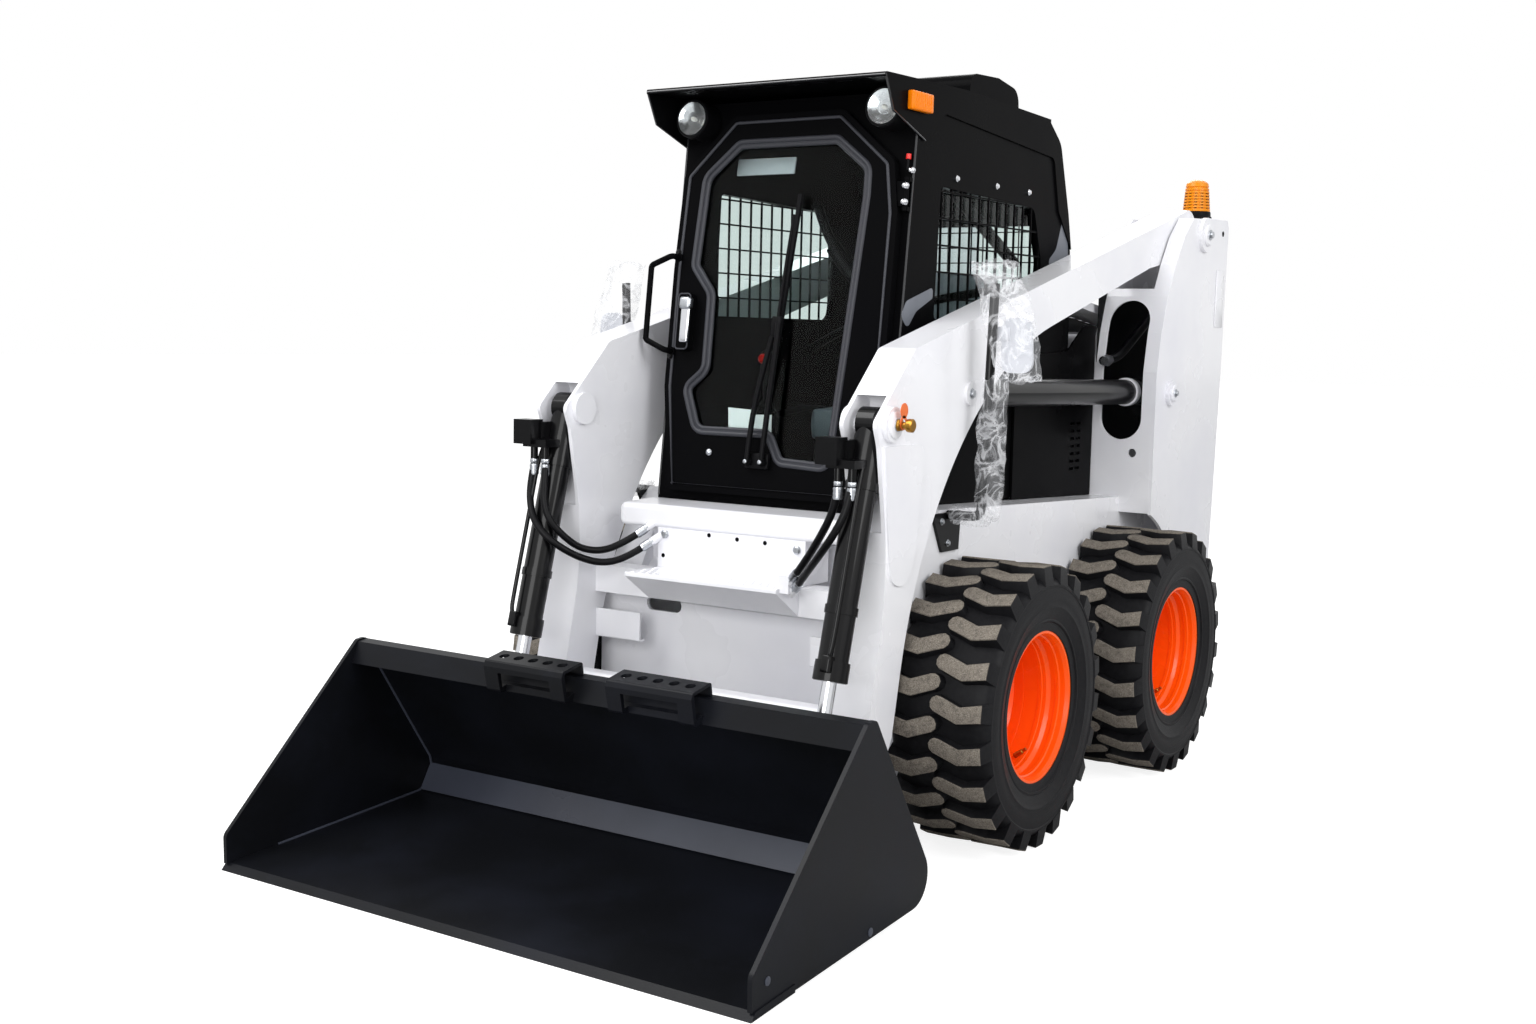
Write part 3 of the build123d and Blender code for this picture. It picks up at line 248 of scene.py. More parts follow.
def bead(points, radius, closed=True):
    """Round bead along straight runs between many points, as a mesh."""
    line = line_through(points, "POLY", radius, 3)
    line.data.splines[0].use_cyclic_u = closed
    return as_mesh(line)


def chosen(test):
    """Selects the vertices of the active mesh, in edit mode, whose place passes the test."""
    mesh = bpy.context.object.data
    bpy.ops.object.mode_set(mode="EDIT")
    bpy.ops.mesh.select_mode(type="VERT")
    bpy.ops.mesh.select_all(action="DESELECT")
    bpy.ops.object.mode_set(mode="OBJECT")
    for vertex in mesh.vertices:
        vertex.select = test(vertex.co)
    bpy.ops.object.mode_set(mode="EDIT")


def plate(outline, thickness):
    """Flat plate: an outline of points filled and extruded along the thickness vector."""
    trace(outline)
    bpy.ops.mesh.edge_face_add()
    bpy.ops.mesh.extrude_region_move(TRANSFORM_OT_translate={"value": Vector(thickness)})
    return tidy()


def slab(corner, opposite, edge=0.0, segments=2):
    """Rectangular bar between two opposite corners with its edges rounded."""
    low, high = (Vector([pick(pair) for pair in zip(corner, opposite)]) for pick in (min, max))
    fresh()
    bpy.ops.mesh.primitive_cube_add(size=1, location=(low + high) / 2)
    bpy.context.object.scale = high - low
    applied(bpy.context.object)
    if edge:
        opened(bpy.context.object)
        bpy.ops.mesh.bevel(offset=edge, segments=segments, affect="EDGES")
        tidy()
    return bpy.context.object


def tube(points, radius, order=3):
    """Round bar or pipe along a smooth line through the control points, as a mesh."""
    return as_mesh(smooth_line(points, radius, order))


def smooth_line(points, radius, order=3):
    """Round bar along a smooth line, left as a curve."""
    line = line_through(points, "NURBS", radius, 5)
    line.data.resolution_u = 10
    spline = line.data.splines[0]
    spline.order_u = order
    spline.use_endpoint_u = True
    return line


def disc(centre, axis, sides, radius, depth, edge):
    """Prism or round disc about an axis with its edges broken."""
    turn = Vector((0, 0, 1)).rotation_difference(axis).to_euler()
    fresh()
    bpy.ops.mesh.primitive_cylinder_add(vertices=sides, radius=radius, depth=depth, location=centre, rotation=turn)
    opened(applied(bpy.context.object))
    bpy.ops.mesh.bevel(offset=edge, segments=1, affect="EDGES")
    bpy.ops.object.mode_set(mode="OBJECT")
    return bpy.context.object


def bolt(centre, axis, across, height, washer=True):
    """Hexagon bolt head on its washer. axis is the direction the head points."""
    centre, axis = Vector(centre), Vector(axis).normalized()
    # a hexagon's corners stand 0.577 of its width across flats from its middle
    head = disc(centre + axis * height / 2, axis, 6, across * 0.577, height, height * 0.12)
    if washer:
        ring = disc(centre + axis * height * 0.1, axis, 24, across * 0.8, height * 0.3, height * 0.05)
        head = joined([head, ring])
    return head


def divided(obj, cuts):
    """Cuts every face of a piece into a grid."""
    opened(obj)
    bpy.ops.mesh.subdivide(number_cuts=cuts)
    bpy.ops.object.mode_set(mode="OBJECT")
    return obj


def joined(objects):
    """Joins several meshes into one object."""
    only(objects[0])
    for obj in objects[1:]:
        obj.select_set(True)
    if len(objects) > 1:
        bpy.ops.object.join()
    return bpy.context.object


def copied(obj, move=(0, 0, 0)):
    """Copy with its own mesh, moved by a step."""
    twin = duplicate(obj)
    twin.location = Vector(move)
    return applied(twin)


def turn_about(centre, axis, angle):
    """Matrix of a turn about an axis through centre."""
    centre = Vector(centre)
    return Matrix.Translation(centre) @ Matrix.Rotation(angle, 4, axis) @ Matrix.Translation(-centre)


def set_by(obj, matrix):
    """Moves a piece by a matrix and writes the move into its mesh."""
    obj.matrix_world = matrix
    return applied(obj)


def turned_copy(obj, centre, axis, angle):
    """Copy with its own mesh, turned about an axis through centre."""
    return set_by(duplicate(obj), turn_about(centre, axis, angle))


def mirrored(obj):
    """Twin of a piece on the machine's other side."""
    twin = duplicate(obj)
    twin.scale.x = -1
    opened(applied(twin))
    bpy.ops.mesh.flip_normals()
    bpy.ops.object.mode_set(mode="OBJECT")
    return twin


def taken(piece):
    """The piece's twin on the other side, in place of the piece."""
    twin = mirrored(piece)
    removed(piece)
    return twin


def fitted(made, name, body, coat, angle=35):
    """Joins what makes up a piece, names it, shades it, paints it and lets it ride on a body."""
    obj = joined(made if isinstance(made, list) else [made])
    bpy.ops.object.shade_smooth_by_angle(angle=radians(angle))
    obj.name = name
    obj.data.name = name
    obj.data.materials.clear()
    obj.data.materials.append(FINISH[coat])
    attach(obj, body)
    return obj


# ---------------------------------------------------------------- material making
def linear(code):
    """Linear colour of an sRGB hex code, with full alpha."""
    parts = [int(code[i : i + 2], 16) / 255 for i in (1, 3, 5)]
    return *(c / 12.92 if c <= 0.04045 else ((c + 0.055) / 1.055) ** 2.4 for c in parts), 1


def wired(tree, node, values=None, links=None):
    """Sets a node's sockets by name or number: constant values, and links from other nodes' outputs."""
    for key, value in (values or {}).items():
        node.inputs[key].default_value = value
    for key, output in (links or {}).items():
        tree.links.new(output, node.inputs[key])
    return node


def add(tree, kind, values=None, links=None, stops=(), **settings):
    """Adds a node with its settings, its stops of position and grey level or colour, its values and its links."""
    node = tree.nodes.new(kind)
    for key, value in settings.items():
        setattr(node, key, value)
    if stops:
        elements = node.color_ramp.elements
        while len(elements) < len(stops):
            elements.new(0.5)
        for element, (position, level) in zip(elements, stops):
            element.position = position
            element.color = level if isinstance(level, tuple) else (level, level, level, 1)
    return wired(tree, node, values, links)


def started(name):
    """A new material with its shader and Object coordinates: material, tree, shader, coordinates."""
    material = bpy.data.materials.new(name)
    material.use_nodes = True
    tree = material.node_tree
    shader = tree.nodes["Principled BSDF"]
    coordinates = add(tree, "ShaderNodeTexCoord").outputs["Object"]
    return material, tree, shader, coordinates


def paint(name, colour, shade, roughness, grain_mm, bump, coat=0.0, dust=None, shine=0.5):
    """Sprayed coat: a slight drift of tone, orange peel at grain_mm and a little handling dust."""
    material, tree, shader, where = started(name)
    drift = add(tree, "ShaderNodeTexNoise", {"Scale": 2.2, "Detail": 4, "Roughness": 0.55}, {"Vector": where})
    share = add(tree, "ShaderNodeValToRGB", None, {"Fac": drift.outputs["Fac"]}, [(0.42, 0.0), (0.72, 1.0)])
    tones = {6: linear(colour), 7: linear(shade)}
    tone = add(tree, "ShaderNodeMix", tones, {0: share.outputs["Color"]}, data_type="RGBA")
    if dust:
        specks = add(tree, "ShaderNodeTexNoise", {"Scale": 38, "Detail": 8, "Roughness": 0.7}, {"Vector": where})
        cloud = add(tree, "ShaderNodeTexNoise", {"Scale": 5.5, "Detail": 3, "Roughness": 0.6}, {"Vector": where})
        specks = add(tree, "ShaderNodeValToRGB", None, {"Fac": specks.outputs["Fac"]}, [(0.5, 0.0), (0.8, 1.0)])
        cloud = add(tree, "ShaderNodeValToRGB", None, {"Fac": cloud.outputs["Fac"]}, [(0.45, 0.0), (0.75, 0.6)])
        both = {0: specks.outputs["Color"], 1: cloud.outputs["Color"]}
        share = add(tree, "ShaderNodeMath", links=both, operation="MULTIPLY")
        layers = {0: share.outputs[0], 6: tone.outputs[2]}
        tone = add(tree, "ShaderNodeMix", {7: linear(dust)}, layers, data_type="RGBA")
    span = {"From Min": 0.3, "From Max": 0.7, "To Min": roughness - 0.04, "To Max": roughness + 0.07}
    rough = add(tree, "ShaderNodeMapRange", span, {"Value": drift.outputs["Fac"]})
    peel = {"Scale": 1000 / grain_mm, "Detail": 2, "Roughness": 0.4}
    peel = add(tree, "ShaderNodeTexNoise", peel, {"Vector": where})
    relief = add(tree, "ShaderNodeBump", {"Strength": bump, "Distance": 0.001}, {"Height": peel.outputs["Fac"]})
    wired(tree, shader, {"IOR": 1.5, "Specular IOR Level": shine}, surface(tone, rough, relief))
    if coat:
        wired(tree, shader, {"Coat Weight": coat, "Coat Roughness": 0.08})
    return material


def surface(tone, rough, relief):
    """The shader's three links that every solid finish has: colour, roughness and relief."""
    return {
        "Base Color": tone.outputs[2],
        "Roughness": rough.outputs["Result"],
        "Normal": relief.outputs["Normal"],
    }


def solid_finish(name, tones, roughness, pattern, relief, values):
    """Metal or plastic: colour and roughness drift together, and its relief is that drift or small cells."""
    material, tree, shader, where = started(name)
    drift = add(tree, "ShaderNodeTexNoise", pattern, {"Vector": where})
    tones = {6: linear(tones[0]), 7: linear(tones[1])}
    tone = add(tree, "ShaderNodeMix", tones, {0: drift.outputs["Fac"]}, data_type="RGBA")
    span = {"From Min": 0.3, "From Max": 0.7, "To Min": max(roughness - 0.05, 0.02), "To Max": roughness + 0.08}
    rough = add(tree, "ShaderNodeMapRange", span, {"Value": drift.outputs["Fac"]})
    height = drift.outputs["Fac"]
    if "cells" in relief:
        height = add(tree, "ShaderNodeTexVoronoi", {"Scale": relief["cells"]}, {"Vector": where}).outputs["Distance"]
    bump = {"Strength": relief["strength"], "Distance": relief["depth"]}
    bump = add(tree, "ShaderNodeBump", bump, {"Height": height})
    wired(tree, shader, values, surface(tone, rough, bump))
    return material


def metal(name, colour, shade, roughness, grain_mm, bump=0.05):
    """Bare metal: colour drift and fine marks of the work."""
    marks = {"Scale": 1000 / grain_mm, "Detail": 6, "Roughness": 0.6}
    relief = {"strength": bump, "depth": 0.0005}
    return solid_finish(name, (colour, shade), roughness, marks, relief, {"Metallic": 1.0})


def plastic(name, colour, shade, roughness, grain_mm, bump, transmission=0.0, shine=0.5):
    """Moulded plastic or rubber with a fine tool grain."""
    drift = {"Scale": 6, "Detail": 5, "Roughness": 0.6}
    relief = {"strength": bump, "depth": 0.0006, "cells": 1000 / grain_mm}
    values = {"Transmission Weight": transmission, "IOR": 1.49, "Specular IOR Level": shine}
    return solid_finish(name, (colour, shade), roughness, drift, relief, values)


def window_glass(name, tint):
    """Toughened safety glass, 5 mm, faintly tinted, with the slight haze of handling."""
    material, tree, shader, where = started(name)
    haze = add(tree, "ShaderNodeTexNoise", {"Scale": 9, "Detail": 6, "Roughness": 0.65}, {"Vector": where})
    tones = {6: linear(tint), 7: linear("#EAF2F0")}
    tone = add(tree, "ShaderNodeMix", tones, {0: haze.outputs["Fac"]}, data_type="RGBA")
    span = {"From Min": 0.45, "From Max": 0.8, "To Min": 0.0, "To Max": 0.05}
    rough = add(tree, "ShaderNodeMapRange", span, {"Value": haze.outputs["Fac"]})
    # real glass is near 1.5; a lower index keeps the white studio's reflection from veiling the cab
    links = {"Base Color": tone.outputs[2], "Roughness": rough.outputs["Result"]}
    wired(tree, shader, {"Transmission Weight": 1.0, "IOR": 1.15}, links)
    return material


def film(name):
    """Thin clear film: it lets most light through and turns milky along its creases."""
    material, tree, shader, where = started(name)
    folds = {"Scale": 15, "Detail": 4, "Roughness": 0.5, "Distortion": 1.2}
    creases = add(tree, "ShaderNodeTexNoise", folds, {"Vector": where})
    stops = [(0.43, 0.06), (0.5, 0.42), (0.57, 0.08)]
    share = add(tree, "ShaderNodeValToRGB", None, {"Fac": creases.outputs["Fac"]}, stops)
    relief = add(tree, "ShaderNodeBump", {"Strength": 0.35, "Distance": 0.004}, {"Height": creases.outputs["Fac"]})
    links = {"Alpha": share.outputs["Color"], "Normal": relief.outputs["Normal"]}
    wired(tree, shader, {"Base Color": linear("#F2F3F6"), "Roughness": 0.18}, links)
    return material


def tyre_rubber(name, axle):
    """Moulded tyre rubber: dull black, with grey-brown release dust only on the lugs' tops, far from the axle."""
    material, tree, shader, where = started(name)
    centre = {"Location": (0, -axle.y, -axle.z), "Scale": (0, 1, 1)}
    centred = add(tree, "ShaderNodeMapping", centre, {"Vector": where})
    length = add(tree, "ShaderNodeVectorMath", links={0: centred.outputs["Vector"]}, operation="LENGTH")
    band = {"From Min": TYRE_RADIUS - 0.0062, "From Max": TYRE_RADIUS - 0.0042, "To Min": 0.0, "To Max": 1.0}
    crown = add(tree, "ShaderNodeMapRange", band, {"Value": length.outputs["Value"]})
    blotch = add(tree, "ShaderNodeTexNoise", {"Scale": 60, "Detail": 9, "Roughness": 0.75}, {"Vector": where})
    fine = add(tree, "ShaderNodeTexNoise", {"Scale": 420, "Detail": 6, "Roughness": 0.8}, {"Vector": where})
    greys = [(0.34, linear("#3C3833")), (0.5, linear("#787168")), (0.66, linear("#A8A094"))]
    dust = add(tree, "ShaderNodeValToRGB", None, {"Fac": fine.outputs["Fac"]}, greys)
    patches = add(tree, "ShaderNodeValToRGB", None, {"Fac": blotch.outputs["Fac"]}, [(0.34, 0.55), (0.52, 1.0)])
    both = {0: crown.outputs["Result"], 1: patches.outputs["Color"]}
    share = add(tree, "ShaderNodeMath", links=both, operation="MULTIPLY")
    blacks = [(0.3, linear("#101012")), (0.75, linear("#1C1C1E"))]
    black = add(tree, "ShaderNodeValToRGB", None, {"Fac": blotch.outputs["Fac"]}, blacks)
    layers = {0: share.outputs[0], 6: black.outputs["Color"], 7: dust.outputs["Color"]}
    tone = add(tree, "ShaderNodeMix", links=layers, data_type="RGBA")
    rough = add(tree, "ShaderNodeMapRange", {"To Min": 0.42, "To Max": 0.86}, {"Value": share.outputs[0]})
    relief = add(tree, "ShaderNodeBump", {"Strength": 0.35, "Distance": 0.0012}, {"Height": fine.outputs["Fac"]})
    wired(tree, shader, {"Specular IOR Level": 0.1}, surface(tone, rough, relief))
    return material


def finishes(look):
    """Every finish of the machine, by its short name."""
    white, black, bucket, orange = (hex_of(c) for c in (look.enamel, look.cab_coat, look.bucket_coat, look.wheel_coat))
    return {
        # Two-pack enamel over steel: glossy, with orange peel a few millimetres across and a cool cast.
        "enamel": paint("white_machine_enamel", white, "#E2E2E8", 0.27, 4.0, 0.06, coat=0.3),
        # Powder coat on sheet steel: satin, with a finer peel.
        "powder": paint("satin_black_powder_coat", black, "#08080A", 0.3, 2.5, 0.08, shine=0.015),
        # Stoved paint on the bucket's plate: blue-black, duller, dusted where it was handled.
        "bucket": paint("blue_black_plate_paint", bucket, "#13151C", 0.36, 3.0, 0.1, dust="#1C1F27", shine=0.14),
        # The bucket's paint made lighter on beads, plugs and the back's bend: a painted highlight.
        "bucket_highlight": paint("bucket_paint_over_weld", "#343741", "#40444F", 0.3, 1.5, 0.2, shine=0.4),
        # Bright gloss paint over pressed steel wheels.
        "orange": paint("orange_wheel_enamel", orange, "#FF5608", 0.28, 4.0, 0.06, coat=0.12, shine=0.3),
        # Gloss black paint on the cylinders' drawn tube.
        "cylinder": paint("gloss_black_cylinder_paint", "#050506", "#08080A", 0.3, 3.0, 0.02, coat=0.3, shine=0.1),
        # Hard chrome on ground bar: a near mirror with a faint grain.
        "chrome": metal("hard_chrome", "#E6E7EA", "#CFD1D6", 0.1, 1.2),
        # Zinc-plated steel of fittings, nuts and crimps: bright but soft.
        "zinc": metal("zinc_plated_steel", "#C9CCD0", "#A9ADB3", 0.28, 1.6, 0.1),
        # Turned brass of the lock pin.
        "brass": metal("turned_brass", "#B98A3C", "#8F6527", 0.3, 1.5, 0.1),
        # Cast iron and black-oxide steel inside the machine.
        "iron": paint("cast_iron_primer", "#2A2B2E", "#3A3B3F", 0.6, 3.0, 0.25),
        # Hose cover: synthetic rubber with a wrapped-cloth imprint.
        "hose": plastic("wrapped_hose_rubber", "#08080A", "#101012", 0.36, 2.2, 0.3, shine=0.14),
        # Door and window gaskets: extruded rubber, matt.
        "gasket": plastic("extruded_gasket_rubber", "#2E2F34", "#3A3B41", 0.4, 2.0, 0.1, shine=0.3),
        # Moulded cab plastics: a fine leather-like tool grain.
        "moulded": plastic("grained_black_polypropylene", "#0A0A0C", "#0E0E10", 0.45, 2.0, 0.3, shine=0.08),
        # Seat vinyl: grey-blue and softly shining.
        "vinyl": plastic("grey_blue_seat_vinyl", "#8B959E", "#6C757E", 0.35, 2.6, 0.35),
        # Gloss red moulding of knobs, the canister and the strut's tip.
        "red": plastic("red_moulded_knob", "#E8241E", "#CC1A14", 0.3, 2.0, 0.05),
        # Acrylic and polycarbonate lenses: amber, red and clear, smooth and bright.
        "amber": plastic("amber_acrylic", "#FA8600", "#F27A00", 0.25, 3.0, 0.0, transmission=0.05, shine=0.15),
        "amber_dome": plastic(
            "amber_polycarbonate_dome", "#F0960F", "#E08408", 0.3, 3.0, 0.0, transmission=0.05, shine=0.3,
        ),
        "red_lens": plastic("red_acrylic", "#B01010", "#8E0808", 0.12, 3.0, 0.02, transmission=0.4),
        "clear_lens": plastic("clear_acrylic", "#F4F6F6", "#ECEFEF", 0.06, 3.0, 0.02, transmission=0.95),
        # Vacuum-coated bowl behind a lamp's lens.
        "reflector": metal("aluminised_reflector", "#F0F1F3", "#DDE0E4", 0.12, 3.0, 0.02),
        # Frosted bulb glass.
        "bulb": plastic("frosted_bulb_glass", "#FFFDF4", "#F2F0E6", 0.25, 3.0, 0.02),
        # Black bead lighter than the cab's coat: a painted highlight along the cab's edges.
        "highlight_black": paint("polished_black_edge", "#1E1F22", "#26272A", 0.2, 3.0, 0.02, coat=0.5),
        # Mirror's moulded back, pale under its film.
        "mirror_back": plastic("pale_grey_mirror_back", "#B4B6BC", "#C8CAD0", 0.4, 3.0, 0.1),
        # Flat safety glass of cab and door: clear with a green cast.
        "glass": window_glass("toughened_cab_glass", "#DCE6E4"),
        # Dull black rubber with release dust on the lugs, once for each axle.
        "tyre_front": tyre_rubber("moulded_tyre_rubber_front", FRONT_AXLE),
        "tyre_rear": tyre_rubber("moulded_tyre_rubber_rear", REAR_AXLE),
        # Blank label stock, and the orange tag on the lock pin.
        "label": plastic("blank_vinyl_label", "#EFEFF0", "#E4E4E6", 0.35, 3.0, 0.02),
        "tag": plastic("orange_vinyl_tag", "#E8722C", "#D8601E", 0.4, 3.0, 0.02),
        # Grey vinyl of the trim stripes.
        "stripe": plastic("grey_vinyl_stripe", "#70747C", "#5F636B", 0.35, 3.0, 0.02),
        # Thin polythene left round the mirrors: clear, milky where it creases.
        "film": film("crumpled_polythene_film"),
        # Inside of a bore, where no light returns.
        "hole": plastic("shadowed_bore", "#060607", "#0A0A0B", 0.8, 2.0, 0.05, shine=0.05),
    }


def hex_of(colour):
    """sRGB hex code of a colour property."""
    return "#" + "".join(f"{round(max(0.0, min(1.0, c)) * 255):02X}" for c in colour)


# filled by the coats operator
FINISH = {}


# ---------------------------------------------------------------- settings that a user would change
class LoaderLook(bpy.types.PropertyGroup):
    """Colours of the machine's coats, as sRGB."""

    enamel: FloatVectorProperty(
        name="Enamel", description="Colour of arms, towers and tub", subtype="COLOR_GAMMA",
        default=(0.925, 0.925, 0.938), min=0, max=1,
    )
    cab_coat: FloatVectorProperty(
        name="Cab coat", description="Colour of cab, door and roof", subtype="COLOR_GAMMA",
        default=(0.04, 0.04, 0.045), min=0, max=1,
    )
    bucket_coat: FloatVectorProperty(
        name="Bucket paint", description="Colour of the bucket", subtype="COLOR_GAMMA", default=(0.05, 0.054, 0.068),
        min=0, max=1,
    )
    wheel_coat: FloatVectorProperty(
        name="Wheel paint", description="Colour of the rims", subtype="COLOR_GAMMA", default=(1.0, 0.37, 0.03), min=0,
        max=1,
    )


class LoaderSizes(bpy.types.PropertyGroup):
    """Sizes of fittings, in metres."""

    hose_diameter: FloatProperty(
        name="Hose diameter", description="Outside diameter of each tilt hose", unit="LENGTH", default=0.021,
    )
    stud_circle: FloatProperty(
        name="Stud circle", description="Radius of the wheel nuts' circle", unit="LENGTH", default=0.1015,
    )
    wheel_nuts: IntProperty(name="Wheel nuts", description="Nuts on each wheel", default=8, min=4, max=12)
    lugs: IntProperty(name="Lugs", description="Lugs on each side of a tyre", default=22, min=12, max=30)


class StudioSizes(bpy.types.PropertyGroup):
    """The stage round the machine."""

    key_power: FloatProperty(
        name="Key light", description="Power of the large soft light from above the front", default=405, min=0,
    )
    fill_power: FloatProperty(
        name="Fill light", description="Power of the soft light beside the machine", default=185, min=0,
    )
    front_power: FloatProperty(
        name="Front light", description="Power of the low soft light before the bucket", default=235, min=0,
    )
    sky: FloatProperty(name="Sky", description="Strength of the light from all round", default=0.68, min=0)
    lens: FloatProperty(
        name="Lens", description="Focal length in millimetres on a 36 mm wide sensor", default=39.6, min=10,
    )


# ---------------------------------------------------------------- stage
# camera: place, turn from straight ahead, height of view and roll
CAMERA_PLACE = (2.7466, -4.5939, 1.4456)
CAMERA_TURN, CAMERA_RISE, CAMERA_ROLL = radians(33.35), radians(6.0), radians(1.18)
# soft lights: name, place, point they face, side of the square and the setting that holds their power
SOFTBOXES = [
    ("key_softbox", (-3.0, -4.4, 7.2), (0, -0.4, 0.6), 4.5, "key_power"),
    ("fill_softbox", (6.0, -1.2, 3.6), (0, 0, 0.9), 3.5, "fill_power"),
    ("rear_softbox", (-2.2, 6.0, 5.0), (0, 0.6, 1.0), 4.0, "fill_power"),
    ("front_softbox", (1.6, -7.0, 2.2), (0, 0, 0.7), 4.0, "front_power"),
]


class LOADER_OT_stage(bpy.types.Operator):
    """Camera, soft lights, pale floor and white surroundings"""

    bl_idname = "loader.stage"
    bl_label = "Stage"

    def execute(self, context):
        studio = context.scene.loader_studio
        fresh()
        bpy.ops.object.camera_add(location=CAMERA_PLACE)
        camera = context.object
        camera.name = "front_left_camera"
        turn, rise, roll = CAMERA_TURN, CAMERA_RISE, CAMERA_ROLL
        back = Vector((sin(turn) * cos(rise), -cos(turn) * cos(rise), sin(rise)))
        right = Vector((0, 0, 1)).cross(back).normalized()
        up = back.cross(right)
        across = right * cos(roll) + up * sin(roll)
        upward = up * cos(roll) - right * sin(roll)
        facing = Matrix((across, upward, back)).transposed().to_4x4()
        camera.matrix_world = Matrix.Translation(camera.location) @ facing
        camera.data.sensor_width = 36
        camera.data.lens = studio.lens
        camera.data.clip_end = 200
        context.scene.camera = camera
        for name, at, aim, size, setting in SOFTBOXES:
            fresh()
            bpy.ops.object.light_add(type="AREA", location=at)
            lamp = context.object
            lamp.name = name
            lamp.data.size = size
            lamp.data.energy = getattr(studio, setting)
            lamp.rotation_euler = (Vector(at) - Vector(aim)).to_track_quat("Z", "Y").to_euler()
        world = bpy.data.worlds.new("white_surroundings")
        context.scene.world = world
        world.use_nodes = True
        tree = world.node_tree
        tree.nodes.clear()
        path = add(tree, "ShaderNodeLightPath")
        direct = {0: path.outputs["Is Camera Ray"], 1: path.outputs["Is Transmission Ray"]}
        seen = add(tree, "ShaderNodeMath", links=direct, operation="MAXIMUM")
        mirrored_too = {0: seen.outputs[0], 1: path.outputs["Is Glossy Ray"]}
        seen = add(tree, "ShaderNodeMath", links=mirrored_too, operation="MAXIMUM")
        light = add(tree, "ShaderNodeBackground", {"Color": (0.975, 0.985, 1.0, 1), "Strength": studio.sky})
        plain = add(tree, "ShaderNodeBackground", {"Color": (1, 1, 1, 1), "Strength": 1.0})
        either = {0: seen.outputs[0], 1: light.outputs[0], 2: plain.outputs[0]}
        mix = add(tree, "ShaderNodeMixShader", links=either)
        add(tree, "ShaderNodeOutputWorld", links={"Surface": mix.outputs[0]})
        fresh()
        bpy.ops.mesh.primitive_grid_add(x_subdivisions=8, y_subdivisions=8, size=120, location=(0, 0, -0.0005))
        floor = context.object
        floor.name = "pale_floor"
        floor.data.materials.append(floor_finish())
        context.scene.view_settings.view_transform = "Standard"
        return {"FINISHED"}


def floor_finish():
    """Matt white studio floor: it looks white to the camera and through glass, and keeps a soft shadow."""
    material, tree, shader, where = started("matt_white_floor")
    grain = add(tree, "ShaderNodeTexNoise", {"Scale": 3, "Detail": 3}, {"Vector": where})
    tone = add(tree, "ShaderNodeValToRGB", None, {"Fac": grain.outputs["Fac"]}, [(0.3, 0.44), (0.7, 0.46)])
    wired(tree, shader, {"Roughness": 0.9, "Specular IOR Level": 0.1}, {"Base Color": tone.outputs["Color"]})
    path = add(tree, "ShaderNodeLightPath")
    direct = {0: path.outputs["Is Camera Ray"], 1: path.outputs["Is Transmission Ray"]}
    seen = add(tree, "ShaderNodeMath", links=direct, operation="MAXIMUM")
    glow = add(tree, "ShaderNodeEmission", {"Color": (1, 1, 1, 1), "Strength": 0.84})
    both = add(tree, "ShaderNodeAddShader", links={0: shader.outputs[0], 1: glow.outputs[0]})
    either = {0: seen.outputs[0], 1: shader.outputs[0], 2: both.outputs[0]}
    mix = add(tree, "ShaderNodeMixShader", links=either)
    wired(tree, tree.nodes["Material Output"], links={"Surface": mix.outputs[0]})
    return material


# ---------------------------------------------------------------- coats on the machine's own sheets and castings
COATS = {
    "enamel": [
        "chassis_frame", "axle_housings", "tower_left", "tower_right", "lift_arm_left", "lift_arm_right",
        "crossmember_upper", "crossmember_lower", "engine_hood", "rear_door",
    ],
    "powder": ["cab_shell", "cab_roof", "engine_side_panels", "cab_door", "side_grilles"],
    "cylinder": ["lift_barrel_left", "lift_barrel_right", "tilt_barrel_left", "tilt_barrel_right"],
    "chrome": ["lift_rod_left", "lift_rod_right", "tilt_rod_left", "tilt_rod_right"],
    "bucket": ["bucket_shell", "cutting_edge", "quick_attach"],
    "glass": ["cab_glass", "cab_door_glass"],
    "iron": ["engine_block"],
    "vinyl": ["seat"],
    "moulded": ["control_consoles", "mirrors", "lamps"],
    "amber": ["beacon"],
    "orange": ["rim_front_left", "rim_front_right", "rim_rear_left", "rim_rear_right"],
    "tyre_front": ["tyre_front_left", "tyre_front_right"],
    "tyre_rear": ["tyre_rear_left", "tyre_rear_right"],
    "hose": ["hose_left_inner", "hose_left_outer", "hose_right_inner", "hose_right_outer"],
}


class LOADER_OT_coats(bpy.types.Operator):
    """Makes every finish and paints the machine's own sheets, castings and glass"""

    bl_idname = "loader.coats"
    bl_label = "Coats"

    def execute(self, context):
        FINISH.update(finishes(context.scene.loader_look))
        for coat, nodes in COATS.items():
            for node in nodes:
                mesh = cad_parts[node].data
                mesh.materials.clear()
                mesh.materials.append(FINISH[coat])
        return {"FINISHED"}


